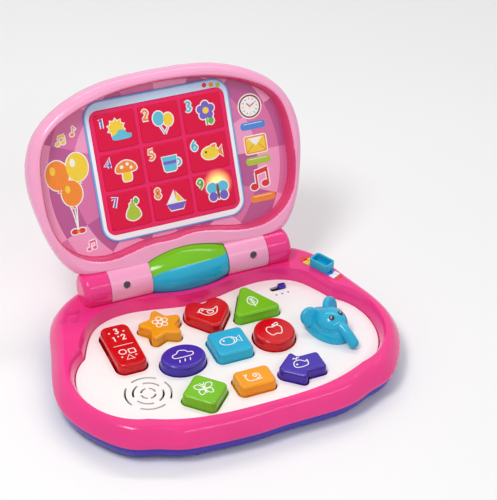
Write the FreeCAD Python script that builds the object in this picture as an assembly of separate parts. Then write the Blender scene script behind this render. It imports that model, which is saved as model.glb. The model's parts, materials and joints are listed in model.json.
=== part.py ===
import FreeCAD, Part
import math
import os

from FreeCAD import Placement, Rotation, Vector

# Toy laptop computer: a hinged lid with a nine-window screen over a base with shaped keys.
# Millimetres. +Z is up, X runs along the hinge, the user sits at -Y.
# The origin is on the flat underside of the base.

# Base: heights and walls
RIM_Z = 32.0             # crest of the rim round the keyboard
SEAM_Z = 16.0            # parting line between the lower and upper shells
BOSS_SEAT = 10.0         # where the screw bosses of the two shells meet
PANEL_TOP = 19.0
PANEL_THICK = 2.0
PANEL_SEAT = PANEL_TOP - PANEL_THICK
PANEL_FIT = 0.3          # gap round the edge of the panel
PANEL_LEDGE = 2.5        # width of the ledge that carries the panel
SHELL_WALL = 2.5
LEDGE_FOOT = PANEL_SEAT - SHELL_WALL
FLOOR_WALL = 2.2

# Base: outlines, right half, from the front centre round to the back centre
BASE_HALF = [(0, -106), (55, -104.5), (78, -100.5), (94, -93.5), (110, -88), (130, -69),
             (149.5, -25), (136.5, 42), (122, 82), (92, 105), (0, 107)]
PANEL_HALF = [(0, -85.5), (52, -82.5), (91.5, -69.5), (122, -48), (131, -17), (123.5, 13),
              (112.5, 25), (104.5, 42), (93, 58), (62, 68.5), (0, 59.5)]
PANEL_CUSPS = [2, 6]     # notches in the panel edge, as places in PANEL_HALF
WALL_UPRIGHT_Y = 62.0    # the wall round the panel stands upright from here back
WALL_LEAN_RUN = 25.0

# Base: profiles, as inset from the outline and height
UPPER_PROFILE = [(1.6, LEDGE_FOOT), (0, 18.5), (1.5, 22.5), (6.5, 29.5), (11, RIM_Z)]
UPPER_HOLLOW = [(3.8, SEAM_Z - 1), (2.8, 18.5), (4.2, 22.5), (9.5, 27.5)]
WELL_PROFILE = [(0, PANEL_SEAT), (0.4, PANEL_TOP), (3, 29), (6, RIM_Z + 0.8)]
LOWER_PROFILE = [(12, 0), (6, 3.5), (2.6, 10), (1.3, SEAM_Z)]
LOWER_HOLLOW = [(13.5, FLOOR_WALL), (6.4, 6.5)]
LIP_OUTER = 4.4          # the lower shell's lip stands inside the upper shell
LIP_INNER = 6.4
LIP_TOP = 18.0

# Hinge
HINGE_Y = 85.0
HINGE_Z = 41.0
HINGE_RADIUS = 15.8
HINGE_GAP = 0.5
KNUCKLE_END = 72.2       # outer end of the lid's knuckles
POST_START = 72.6        # inner end of the base's posts
POST_END = 95.5
POST_ROUND = 6.0
POST_FOOT = 12.0         # half depth of the post's foot
PIN_RADIUS = 2.5
PIN_FIT = 0.05           # running clearance of the pin in the knuckle
PIN_START = 61.5
PIN_END = 90.0
BARREL_RADIUS = 21.5     # at the middle of the barrel
BARREL_END_RADIUS = 15.0
BARREL_HALF = 34.8
BARREL_GAP = 0.7
BARREL_SEAT = 26.0       # height of the barrel's flat foot
BARREL_WAVE = [(-39.8, 5), (-12, 14), (12, 14), (39.8, 12)]   # split line, X and height over the axis

# Keys
KEY_TOP = 28.0
KEY_FOOT = 14.2
KEY_CEILING = 24.0       # top of the hollow inside a key
KEY_DRAFT = 1.065        # a key's foot is this much larger than its top
KEY_ROUND = 2.6
KEY_SIZE = 31.0          # side of the square key, length of the rectangle
KEY_SHORT = 22.0
KEY_CORNER = 4.5
DIAMOND_REACH = 20.5
STAR_TIP = 23.0
STAR_NOTCH = 12.0
STAR_ROUNDS = [3.5, 4.0]     # at the tips and in the notches
CIRCLE_RADIUS = 17.2
OVAL_RADII = (18.8, 15.0)
KEY_WALL = 2.2
HOLE_GAP = 1.8           # from a key's top outline to the edge of its hole
TAB_REACH = 2.6          # retaining tabs, from the key's top outline
TAB_TOP = 16.4
TAB_HALF = 4.0
STEM_FOOT = 12.0
STEM_RADIUS = 3.6
PAD_FOOT_RADIUS = 5.5
PAD_NECK_RADIUS = 4.2
PAD_HEAD_RADIUS = 3.0
PAD_SHOULDER = 2.4

# Mode rocker
ROCKER_X = -80.0
ROCKER_Y = 21.9
ROCKER_SIZE = (25.0, 53.0)
ROCKER_CORNER = 6.5
ROCKER_DRAFT = 1.03
ROCKER_VALLEY = 0.9      # the two halves dip this far towards the middle
ROCKER_BAR_Z = 14.7
ROCKER_BAR_RADIUS = 2.0
ROCKER_BAR_HALF = 15.2
ROCKER_BAR_FIT = 0.06
ROCKER_STEM = 18.0       # contact stems, from the bar
ROCKER_STEM_FOOT = 13.2
ROCKER_PAD_TOP = 11.0
SADDLE = (13.6, 16.6)    # bearing blocks under the panel, from the rocker's middle
SADDLE_HALF = 4.5
SADDLE_FOOT = 11.5

# Screws
SCREW_RADIUS = 1.5
SCREW_HEAD_RADIUS = 2.8
SCREW_HEAD_HEIGHT = 2.0
SCREW_SLOT = 0.8
BOSS_RADIUS = 3.6
COUNTERBORE = SCREW_HEAD_RADIUS + 0.4
SHELL_SCREW_SITES = [(-60, -91.5), (60, -91.5), (-126.5, 38), (126.5, 38), (-108, 84), (108, 84)]
SHELL_SCREW_SEAT = 4.0
SHELL_SCREW_TIP = 20.0
SHELL_BOSS_TOP = 28.0

# Batteries and their space
BATTERY_LENGTH = 50.5
BATTERY_RADIUS = 7.1
BATTERY_BUTTON = (2.7, 1.2)
BATTERY_Z = 9.2
BATTERY_ROWS = [69.4, 84.4]
BOX_X = 31.0             # half length of the battery space
BOX_Y = (61.0, 92.8)
BOX_WALL = 1.6
BOX_ROOF = 0.6
DOOR_RECESS = 0.3
DOOR_TOP = 1.7
DOOR_GAP = 0.4
DOOR_LEDGE = 2.0
DOOR_LEDGE_TOP = 3.0
DOOR_TAB = (5.0, 8.0)    # half width and reach of the door's screw tab
DOOR_SCREW_Y = BOX_Y[0] - 4.0
DOOR_SCREW_SEAT = 1.0
DOOR_SCREW_TIP = 8.5
DOOR_SCREW_SINK = 0.1    # the head stays this far above the underside
DOOR_BOSS_TOP = 11.0
DOOR_GRIPS = 5
CONTACT_THICK = 0.6
CONTACT_HALF = 5.0

# Circuit board and speaker
BOARD_TOP = 7.6
BOARD_THICK = 1.6
BOARD_CORNERS = [(-96, -7), (-56, -7), (-56, -72), (72, -72), (72, 50), (-96, 50)]
BOARD_SITES = [(-90, 44), (66, 44), (66, -66), (-52, -66), (-90, -2)]
BOARD_ROUND = 3.0
BOARD_SCREW_RADIUS = 1.2
CHIP = (16, 28, -36, -28)
SPEAKER_X = -78.5
SPEAKER_Y = -33.0
SPEAKER_RADIUS = 20.5
SPEAKER_SEAT = 13.6
SPEAKER_TOP = 15.4
SPEAKER_FOOT = 3.6
SPEAKER_MAGNET = 9.5
SPEAKER_BASKET = 4.6     # depth of the tapered basket
SPEAKER_CONE = 3.9       # depth of the sunk cone
SPEAKER_CONE_RADII = (5.0, 17.5)
SPEAKER_CAP = 5.8
SPEAKER_RING = (21.0, 18.5)
SPEAKER_COLLAR = (21.5, 19.5)
GRILLE_RADII = [6.0, 12.5, 19.0]
GRILLE_SLOT = 1.7
GRILLE_ARC = 66.0        # degrees of slot in each quarter
GRILLE_TWIST = 25.0      # each ring of slots is turned this far from the last

# Power switch
SWITCH_X = 75.0
SWITCH_Y = 54.0
SWITCH_SLOT = (15.0, 5.6)
SWITCH_CORNER = 2.6
SWITCH_BODY = (10.0, 4.5)
SWITCH_FOOT = 11.0
SWITCH_TROUGH = (8.2, 1.8)
KNOB_SIZE = (7.0, 4.8)
KNOB_HEIGHT = 4.2
KNOB_CORNER = 1.6
KNOB_ROUND = 1.0
KNOB_STEM = (2.5, 1.4)   # half length and half width
KNOB_STEM_FOOT = 12.4
KNOB_FOOT = 18.4         # the grip's foot, just inside the slot
KNOB_OFFSET = 3.5        # the knob stands towards the right of its slot
KNOB_RIDGE = 2.0         # spacing of the finger grooves
KNOB_GROOVE = 0.7        # their width and depth

# Elephant mouse
MOUSE_X = 92.0
MOUSE_Y = -14.0
MOUSE_TURN = 18.0        # the elephant looks to the right, in degrees
MOUSE_TRAVEL = 7.0
MOUSE_GAP = 0.4
MOUSE_FOOT = PANEL_TOP + MOUSE_GAP
MOUSE_STEM = (8.0, 12.0)
STEM_GAP = 1.0           # play of the stem in the panel's slot
MOUSE_BACK = (16.0, 24.0, 17.0)
MOUSE_BACK_Y = 2.0
MOUSE_HEAD = (13.5, 15.0, 12.0)
MOUSE_HEAD_Y = -2.0
MOUSE_HEAD_RISE = 10.0
CARRIAGE_TOP = PANEL_SEAT - MOUSE_GAP
CARRIAGE_SIZE = (20.0, 34.0)
EAR_RADIUS = 8.5
EAR_THICK = 6.0
EAR_ROUND = 2.4
EAR_PLACE = (11.5, 12.0, 12.5)   # from the mouse's foot
EAR_TIP = 65.0
EAR_TURN = 20.0
TRUNK_RADIUS = 4.6
TRUNK_PATH = [(-12, 13), (-23, 9), (-29.5, 4.5)]   # Y and height from the mouse's foot
CARRIAGE_THICK = 2.0
CARRIAGE_CORNER = 3.0
WIPER = (6.0, 3.0, 2.5)  # half length, half width and drop of the contact wiper

# Side slider on the right-hand rim
TRACK_X = 114.9
TRACK_Y = 52.0
TRACK_ANGLE = -63.0      # the strip runs along the rim
TRACK_LENGTH = 44.0
TRACK_WIDTH = 9.0
TRACK_THICK = 1.2
TRACK_DROP = 1.0         # foot of the strip below the rim's crest
TRACK_CORNER = 2.0
TRACK_SLOT = (36.0, 3.4)
TRACK_SLOT_FLOOR = 0.4
SLIDER_LENGTH = 19.7
SLIDER_WIDTH = 12.9
SLIDER_HEIGHT = 7.6
SLIDER_WALL = 1.8
SLIDER_CORNER = 3.0
SLIDER_TONGUE = (6.0, 1.3)   # half length and half width
SLIDER_OFFSET = 1.3      # the sleeve stands outwards of the strip's middle
SLIDER_GAP = 0.35

# Lid, measured lying flat: X along the hinge, Y up the lid, Z towards the user
LID_TILT = 26.5          # the open lid leans back this far from upright
LID_CREST = 8.5          # rim in front of the hinge axis
LID_PARTING = -2.0
LID_FLOOR = -7.0
LID_DECK = -9.0          # back of the floor that carries the screen
LID_BACK = -20.0
LID_HALF = [(0, 8), (60, 8), (95, 15), (109, 33), (119.5, 66), (123.5, 103), (112, 136.5),
            (83, 159), (44, 170.8), (0, 173)]
LID_WELL_HALF = [(0, 31), (30, 30), (60, 24.5), (84, 28), (103, 44), (111.5, 92), (101, 133),
                 (80, 147), (44, 158), (0, 161.5)]
FRAME_PROFILE = [(0, LID_PARTING), (0.6, 2.5), (3.2, 6.6), (6.4, LID_CREST)]
LID_WELL_PROFILE = [(0, LID_FLOOR), (0.8, -2), (2.2, 7), (5, 9.3)]
COVER_PROFILE = [(0, LID_PARTING), (0.8, -9), (6, -16), (18, LID_BACK)]
COVER_HOLLOW = [(2.4, -1.5), (3.2, -9), (8.2, -14.2), (18, LID_BACK + SHELL_WALL)]
DECK_INSET = 4.0
DECK_GAP = 0.3
CHIN_TOP = 24.0          # the cover is solid below this line
LID_BOSS_END = -12.5     # where the frame's bosses meet the cover's
COVER_BOSS_RADIUS = 5.0
LID_SCREW_SITES = [(-88, 126), (88, 126), (-98, 62), (98, 62), (-52, 20), (52, 20)]
LID_SCREW_SEAT = -15.0
LID_SCREW_TIP = -7.8
KNUCKLE_SCREW_X = 58.3
KNUCKLE_BORE = 3.3
KNUCKLE_SEAT = 11.8
KNUCKLE_TIP = -5.0

# Screen
BEZEL_WIDTH = 132.0
BEZEL_LOW = 33.5
BEZEL_HIGH = 155.5
BEZEL_CORNER = 15.0
BEZEL_THICK = 1.4
BEZEL_ROUND = 0.6
BEZEL_FIT = 0.1
PITCH_X = 39.3           # spacing of the nine windows
PITCH_Y = 34.3
WINDOW_MIDDLE = 93.5     # height of the middle window up the lid
WINDOW_MARGIN = 2.4
WINDOW_CORNER = 8.0
WINDOW_PLATE = 0.9
CUSHION_GAP = 3.4
CUSHION_HEIGHT = 2.0
CUSHION_CORNER = 3.6
CUSHION_ROUND = 0.8
SHEET_THICK = 0.4
SHEET_TOP = LID_FLOOR + SHEET_THICK
GRID_DEPTH = 4.2
GRID_WALL = 2.2
GRID_CORNER = 3.0
LAMP_FOOT = SHEET_TOP - GRID_DEPTH
LAMP_BOARD_THICK = 1.4
LAMP_BOARD_BORDER = (8.0, 4.0)
LAMP_BOARD_SITES = [(-63.5, 53.5), (63.5, 53.5), (-63.5, 133.5), (63.5, 133.5)]
LAMP_BOSS_RADIUS = 2.6
LAMP_SCREW_RADIUS = 1.0
LAMP_FLANGE = (2.0, 0.8)     # radius and height
LAMP_LENS = (1.5, 1.0, 1.4)  # foot radius, tip radius and height

FAR = 200.0              # reaches past the whole object
CUT = 1.0                # a cutting solid runs past its face by this much

os.makedirs("parts", exist_ok=True)
LID_PLACE = Placement(Vector(0, HINGE_Y, HINGE_Z), Rotation(Vector(1, 0, 0), 90 - LID_TILT))
TRACK_PLACE = Placement(Vector(TRACK_X, TRACK_Y, RIM_Z - TRACK_DROP),
                        Rotation(Vector(0, 0, 1), TRACK_ANGLE))


def export(name, shape, place=None):
    """Write one piece, after putting it where it belongs."""
    piece = shape.copy()
    if place is not None:
        piece.Placement = place.multiply(piece.Placement)
    piece.exportStep(f"parts/{name}.step")


# Outlines
def mirrored(half):
    """Whole outline, anticlockwise, from its right half."""
    left = [(-x, y) for x, y in reversed(half[1:-1])]
    return half + left


def shifted(points, inset, lean=None):
    """Move each point of a closed anticlockwise outline inwards by inset."""
    moved = []
    count = len(points)
    for index, (x, y) in enumerate(points):
        ahead = points[(index + 1) % count]
        behind = points[index - 1]
        run = math.hypot(ahead[0] - behind[0], ahead[1] - behind[1])
        normal = (-(ahead[1] - behind[1]) / run, (ahead[0] - behind[0]) / run)
        step = inset if lean is None else inset * lean(y)
        moved.append((x + normal[0] * step, y + normal[1] * step))
    return moved


def smooth_ring(points, z):
    """One smooth closed curve through the points."""
    curve = Part.BSplineCurve()
    curve.interpolate([Vector(x, y, z) for x, y in points], PeriodicFlag=True)
    return Part.Wire(curve.toShape())


def lobed_ring(points, corners, z):
    """Smooth lobes that meet in a notch at each corner."""
    edges = []
    for first, last in zip(corners, corners[1:] + [corners[0] + len(points)]):
        stretch = [points[place % len(points)] for place in range(first, last + 1)]
        curve = Part.BSplineCurve()
        curve.interpolate([Vector(x, y, z) for x, y in stretch])
        edges.append(curve.toShape())
    return Part.Wire(edges)


def base_ring(inset, z):
    return smooth_ring(shifted(mirrored(BASE_HALF), inset), z)


def wall_lean(y):
    """The wall round the panel leans outwards, but stands upright along the hinge."""
    return min(1.0, max(0.05, (WALL_UPRIGHT_Y - y) / WALL_LEAN_RUN))


def panel_ring(outset, z):
    points = shifted(mirrored(PANEL_HALF), -outset, wall_lean if outset > 0 else None)
    corners = PANEL_CUSPS + [len(points) - place for place in reversed(PANEL_CUSPS)]
    return lobed_ring(points, corners, z)


def lid_ring(inset, z):
    return smooth_ring(shifted(mirrored(LID_HALF), inset), z)


def lid_well_ring(outset, z):
    return smooth_ring(shifted(mirrored(LID_WELL_HALF), -outset), z)


def rounded_polygon(corners, radius, z=0.0):
    """Closed wire with every corner rounded; radius is one value or one for each corner."""
    count = len(corners)
    radii = radius if isinstance(radius, list) else [radius] * count
    points = [Vector(x, y, z) for x, y in corners]
    arcs = []
    for index, corner in enumerate(points):
        before = (points[index - 1] - corner).normalize()
        after = (points[(index + 1) % count] - corner).normalize()
        half_angle = before.getAngle(after) / 2
        reach = radii[index] / math.tan(half_angle)
        inward = (before + after).normalize()
        middle = corner + inward * (radii[index] / math.sin(half_angle) - radii[index])
        arcs.append(Part.Arc(corner + before * reach, middle, corner + after * reach).toShape())
    edges = []
    for index, arc in enumerate(arcs):
        start = arc.Vertexes[-1].Point
        end = arcs[(index + 1) % count].Vertexes[0].Point
        edges.append(arc)
        edges.append(Part.LineSegment(start, end).toShape())
    return Part.Wire(edges)


def rectangle(width, height, radius, x=0.0, y=0.0, z=0.0):
    half_w = width / 2
    half_h = height / 2
    corners = [(half_w, -half_h), (half_w, half_h), (-half_w, half_h), (-half_w, -half_h)]
    wire = rounded_polygon(corners, radius)
    wire.translate(Vector(x, y, z))
    return wire


def grown(wire, distance):
    return wire.makeOffset2D(distance) if distance else wire


def placed(wire, x, y, z, scale=1.0):
    """A copy of the wire, scaled about its own middle and then moved."""
    copy = wire.copy()
    copy.scale(scale, Vector(0, 0, 0))
    copy.translate(Vector(x, y, z))
    return copy


# Solids
def loft(ring, profile):
    """Smooth skin through the outline at each inset and height of the profile."""
    return Part.makeLoft([ring(inset, z) for inset, z in profile], True, False)


def plate(wire, thickness):
    return Part.Face(wire).extrude(Vector(0, 0, thickness))


def box(x_low, x_high, y_low, y_high, z_low, z_high):
    corner = Vector(x_low, y_low, z_low)
    return Part.makeBox(x_high - x_low, y_high - y_low, z_high - z_low, corner)


def upright(x, y, z_low, z_high, radius):
    return Part.makeCylinder(radius, z_high - z_low, Vector(x, y, z_low))


def tube(x, y, z_low, z_high, outer, inner):
    return upright(x, y, z_low, z_high, outer).cut(upright(x, y, z_low - CUT, z_high + CUT, inner))


def across(x_low, x_high, radius, y, z):
    """Cylinder lying along X."""
    return Part.makeCylinder(radius, x_high - x_low, Vector(x_low, y, z), Vector(1, 0, 0))


def along_hinge(x_low, x_high, radius):
    return across(x_low, x_high, radius, HINGE_Y, HINGE_Z)


def on_side(side, start, end):
    """Low and high X of a stretch on the right (1) or the left (-1)."""
    return (start, end) if side > 0 else (-end, -start)


def edges_at(shape, axis, level):
    """Edges that lie in one plane square to an axis."""
    found = []
    for edge in shape.Edges:
        low = getattr(edge.BoundBox, axis + "Min")
        high = getattr(edge.BoundBox, axis + "Max")
        if abs(low - level) < 1e-3 and abs(high - level) < 1e-3:
            found.append(edge)
    return found


def top_rounded(shape, z, radius):
    return shape.makeFillet(radius, edges_at(shape, "Z", z))


def screw(x, y, z_head, z_tip, head_height=SCREW_HEAD_HEIGHT):
    """Pan-head screw standing upright, head down, with a cross slot."""
    shank = upright(x, y, z_head, z_tip, SCREW_RADIUS)
    head = upright(x, y, z_head, z_head + head_height, SCREW_HEAD_RADIUS)
    reach = SCREW_HEAD_RADIUS * 0.6
    half = SCREW_SLOT / 2
    slot = box(x - reach, x + reach, y - half, y + half, z_head - CUT, z_head + SCREW_SLOT)
    cross = box(x - half, x + half, y - reach, y + reach, z_head - CUT, z_head + SCREW_SLOT)
    return head.fuse(shank).cut(slot).cut(cross).removeSplitter()


# Key shapes, each round its own middle, all of one visual size
def square_outline(grow=0.0):
    return rectangle(KEY_SIZE + 2 * grow, KEY_SIZE + 2 * grow, KEY_CORNER + grow)


def rectangle_outline(grow=0.0):
    return rectangle(KEY_SIZE + 2 * grow, KEY_SHORT + 2 * grow, KEY_CORNER + grow)


def rocker_outline(grow=0.0):
    return rectangle(ROCKER_SIZE[0] + 2 * grow, ROCKER_SIZE[1] + 2 * grow, ROCKER_CORNER + grow)


def triangle_outline(grow=0.0):
    return grown(rounded_polygon([(23, -16), (0, 25), (-23, -16)], KEY_CORNER), grow)


def diamond_outline(grow=0.0):
    reach = DIAMOND_REACH
    corners = [(0, -reach), (reach, 0), (0, reach), (-reach, 0)]
    return grown(rounded_polygon(corners, KEY_CORNER), grow)


def arrow_outline(grow=0.0):
    corners = [(-22, 0), (-2, -17.5), (1, -10), (19, -10), (19, 10), (1, 10), (-2, 17.5)]
    return grown(rounded_polygon(corners, [6, 2.5, 3, 3, 3, 3, 2.5]), grow)


def star_outline(grow=0.0):
    corners = []
    for tip in range(5):
        out = math.radians(90 + 72 * tip)
        between = math.radians(126 + 72 * tip)
        corners.append((STAR_TIP * math.cos(out), STAR_TIP * math.sin(out)))
        corners.append((STAR_NOTCH * math.cos(between), STAR_NOTCH * math.sin(between)))
    return grown(rounded_polygon(corners, STAR_ROUNDS * 5), grow)


def heart_outline(grow=0.0):
    half = [(0, -23.5), (21.5, 3), (12.5, 20.5), (0, 12)]
    radii = [7, 12, 8, 4, 8, 12]
    return grown(rounded_polygon(mirrored(half), radii), grow)


def circle_outline(grow=0.0):
    return Part.Wire(Part.Circle(Vector(0, 0, 0), Vector(0, 0, 1), CIRCLE_RADIUS + grow).toShape())


def oval_outline(grow=0.0):
    long_radius, short_radius = OVAL_RADII
    return Part.Wire(Part.Ellipse(Vector(0, 0, 0), long_radius + grow, short_radius + grow).toShape())


# Name, outline, middle x, middle y
KEYS = [
    ("square", square_outline, 4.3, -5.9),
    ("rectangle", rectangle_outline, 5.4, -54.2),
    ("triangle", triangle_outline, 42.4, 36.5),
    ("diamond", diamond_outline, -37.8, -53.9),
    ("arrow", arrow_outline, 47.5, -53.5),
    ("star", star_outline, -41.1, 35.5),
    ("heart", heart_outline, 2.4, 36.5),
    ("circle", circle_outline, 44.4, -6.5),
    ("oval", oval_outline, -39.0, -9.5),
]


def cap_shell(outline, x, y, draft):
    """Hollow cap with spread sides and a rounded top."""
    foot = placed(outline(), x, y, KEY_FOOT, draft)
    crown = placed(outline(), x, y, KEY_TOP)
    cap = top_rounded(Part.makeLoft([foot, crown], True, True), KEY_TOP, KEY_ROUND)
    hollow = plate(placed(outline(-KEY_WALL), x, y, KEY_FOOT - CUT), KEY_CEILING - KEY_FOOT + CUT)
    return cap.cut(hollow)


def key_cap(outline, x, y):
    """Cap with retaining tabs on four sides and a stem that presses the pad."""
    skirt = plate(placed(outline(TAB_REACH), x, y, KEY_FOOT), TAB_TOP - KEY_FOOT)
    skirt = skirt.cut(plate(placed(outline(-KEY_WALL), x, y, KEY_FOOT - CUT), TAB_TOP))
    bands = box(x - TAB_HALF, x + TAB_HALF, y - FAR, y + FAR, KEY_FOOT, TAB_TOP)
    bands = bands.fuse(box(x - FAR, x + FAR, y - TAB_HALF, y + TAB_HALF, KEY_FOOT, TAB_TOP))
    stem = upright(x, y, STEM_FOOT, KEY_CEILING + CUT, STEM_RADIUS)
    return cap_shell(outline, x, y, KEY_DRAFT).fuse(skirt.common(bands)).fuse(stem).removeSplitter()


def key_hole(outline, x, y):
    return plate(placed(outline(HOLE_GAP), x, y, PANEL_SEAT - CUT), PANEL_THICK + 2 * CUT)


def key_pad(x, y):
    """Silicone dome under a key stem."""
    shoulder = BOARD_TOP + PAD_SHOULDER
    foot = Part.makeCone(PAD_FOOT_RADIUS, PAD_NECK_RADIUS, PAD_SHOULDER, Vector(x, y, BOARD_TOP))
    return foot.fuse(upright(x, y, shoulder, STEM_FOOT, PAD_HEAD_RADIUS)).removeSplitter()


def mode_rocker():
    """Long key that tips about a bar across its middle, with a shallow valley in its top."""
    cap = cap_shell(rocker_outline, ROCKER_X, ROCKER_Y, ROCKER_DRAFT)
    half = ROCKER_SIZE[1] / 2
    valley = Part.makePolygon([Vector(ROCKER_X - FAR, ROCKER_Y - half, KEY_TOP),
                               Vector(ROCKER_X - FAR, ROCKER_Y, KEY_TOP - ROCKER_VALLEY),
                               Vector(ROCKER_X - FAR, ROCKER_Y + half, KEY_TOP),
                               Vector(ROCKER_X - FAR, ROCKER_Y - half, KEY_TOP)])
    cap = cap.cut(Part.Face(valley).extrude(Vector(2 * FAR, 0, 0)))
    reach = ROCKER_BAR_HALF
    cap = cap.fuse(across(ROCKER_X - reach, ROCKER_X + reach, ROCKER_BAR_RADIUS, ROCKER_Y, ROCKER_BAR_Z))
    for end in (-1, 1):
        y = ROCKER_Y + end * ROCKER_STEM
        cap = cap.fuse(upright(ROCKER_X, y, ROCKER_STEM_FOOT, KEY_CEILING + CUT, STEM_RADIUS))
    return cap.removeSplitter()


def rocker_pads():
    height = ROCKER_PAD_TOP - BOARD_TOP
    pads = []
    for end in (-1, 1):
        foot = Vector(ROCKER_X, ROCKER_Y + end * ROCKER_STEM, BOARD_TOP)
        pads.append(Part.makeCone(PAD_FOOT_RADIUS, PAD_HEAD_RADIUS, height, foot))
    return Part.makeCompound(pads)


def rocker_saddles():
    """Two bearing blocks that hang from the panel and hold the rocker's bar."""
    reach = ROCKER_BAR_HALF + DOOR_GAP
    radius = ROCKER_BAR_RADIUS + ROCKER_BAR_FIT
    bore = across(ROCKER_X - reach, ROCKER_X + reach, radius, ROCKER_Y, ROCKER_BAR_Z)
    blocks = []
    for side in (1, -1):
        low, high = on_side(side, *SADDLE)
        block = box(ROCKER_X + low, ROCKER_X + high, ROCKER_Y - SADDLE_HALF, ROCKER_Y + SADDLE_HALF,
                    SADDLE_FOOT, PANEL_SEAT + CUT)
        blocks.append(block.cut(bore))
    return blocks


# Hinge
def barrel_solid(extra):
    """Body of revolution about the hinge axis, bulged in the middle."""
    half = BARREL_HALF + extra
    ends = BARREL_END_RADIUS + extra
    left = Vector(-half, ends, 0)
    right = Vector(half, ends, 0)
    bulge = Part.Arc(left, Vector(0, BARREL_RADIUS + extra, 0), right)
    sides = Part.makePolygon([right, Vector(half, 0, 0), Vector(-half, 0, 0), left])
    face = Part.Face(Part.Wire([bulge.toShape()] + sides.Edges))
    solid = face.revolve(Vector(0, 0, 0), Vector(1, 0, 0), 360)
    solid.translate(Vector(0, HINGE_Y, HINGE_Z))
    return solid


def seated_barrel(extra):
    """The barrel with its foot cut flat where it sits in the base."""
    return barrel_solid(extra).cut(box(-FAR, FAR, -FAR, FAR, -FAR, BARREL_SEAT))


def below_wave():
    """Solid below the wavy cut, rising to the right, that parts the two barrel colours."""
    points = [Vector(x, -FAR, HINGE_Z + rise) for x, rise in BARREL_WAVE]
    wave = Part.BSplineCurve()
    wave.interpolate(points)
    drop = Vector(0, 0, -FAR)
    sides = Part.makePolygon([points[-1], points[-1] + drop, points[0] + drop, points[0]])
    return Part.Face(Part.Wire([wave.toShape()] + sides.Edges)).extrude(Vector(0, 2 * FAR, 0))


def post(side):
    """Rounded lug that carries a hinge pin, with a foot down to the rim."""
    drum = along_hinge(*on_side(side, POST_START, POST_END), HINGE_RADIUS)
    drum = drum.makeFillet(POST_ROUND, edges_at(drum, "X", side * POST_END))
    low, high = on_side(side, POST_START, POST_END - POST_ROUND)
    foot = box(low, high, HINGE_Y - POST_FOOT, HINGE_Y + POST_FOOT,
               RIM_Z - POST_ROUND, HINGE_Z - POST_ROUND)
    return drum.fuse(foot)


def hinge_pin(side):
    return along_hinge(*on_side(side, PIN_START, PIN_END), PIN_RADIUS)


# Base
def battery_box():
    """Block that holds the battery space; its roof carries the back of the panel."""
    return box(-BOX_X - BOX_WALL, BOX_X + BOX_WALL, BOX_Y[0] - BOX_WALL, BOX_Y[1] + BOX_WALL,
               FLOOR_WALL / 2, PANEL_SEAT)


def battery_box_space():
    """Room for the battery block in the upper shell, through the ledge in front of it."""
    wall = BOX_WALL + DOOR_GAP
    return box(-BOX_X - wall, BOX_X + wall, BOX_Y[0] - wall - PANEL_LEDGE, BOX_Y[1] + wall,
               BOSS_SEAT, PANEL_SEAT + DOOR_GAP)


def switch_block(gap):
    reach_x = SWITCH_BODY[0] + gap
    reach_y = SWITCH_BODY[1] + gap
    return box(SWITCH_X - reach_x, SWITCH_X + reach_x, SWITCH_Y - reach_y, SWITCH_Y + reach_y,
               SWITCH_FOOT - gap, PANEL_SEAT)


def upper_hollow():
    """Space in and below the upper shell, clear of the keyboard well, hinge trough and barrel seat."""
    profile = [(inset + SHELL_WALL, z) for inset, z in WELL_PROFILE]
    profile[0] = (SHELL_WALL, LEDGE_FOOT - CUT)
    profile[-1] = (profile[-1][0], RIM_Z + 2 * CUT)
    well_wall = loft(panel_ring, profile)
    below_seam = plate(base_ring(-SHELL_WALL, LEDGE_FOOT - CUT), SEAM_Z - LEDGE_FOOT + CUT)
    trough_wall = along_hinge(-POST_END, POST_END, HINGE_RADIUS + HINGE_GAP + SHELL_WALL)
    seat_half = BARREL_HALF + SHELL_WALL
    seat_front = HINGE_Y - BARREL_RADIUS - SHELL_WALL
    seat = box(-seat_half, seat_half, seat_front, FAR, BARREL_SEAT - SHELL_WALL, RIM_Z)
    hollow = loft(base_ring, UPPER_HOLLOW).fuse(below_seam)
    return hollow.cut(well_wall).cut(trough_wall).cut(seat)


def base_upper_shell():
    body = loft(base_ring, UPPER_PROFILE)
    body = body.cut(loft(panel_ring, WELL_PROFILE)).cut(upper_hollow())
    body = body.cut(plate(panel_ring(-PANEL_LEDGE, BOSS_SEAT), RIM_Z))
    body = body.cut(battery_box_space()).cut(switch_block(DOOR_GAP))
    for x, y in SHELL_SCREW_SITES:
        body = body.fuse(upright(x, y, BOSS_SEAT, SHELL_BOSS_TOP, BOSS_RADIUS))
    body = body.fuse(post(1)).fuse(post(-1))
    body = body.cut(along_hinge(-POST_START, POST_START, HINGE_RADIUS + HINGE_GAP))
    body = body.cut(seated_barrel(BARREL_GAP))
    for side in (1, -1):
        body = body.cut(along_hinge(*on_side(side, POST_START - CUT, PIN_END), PIN_RADIUS))
    for x, y in SHELL_SCREW_SITES:
        body = body.cut(upright(x, y, BOSS_SEAT - CUT, SHELL_SCREW_TIP, SCREW_RADIUS))
    pocket = plate(rectangle(TRACK_LENGTH, TRACK_WIDTH, TRACK_CORNER), RIM_Z)
    pocket.Placement = TRACK_PLACE
    return body.cut(pocket).removeSplitter()


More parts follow.
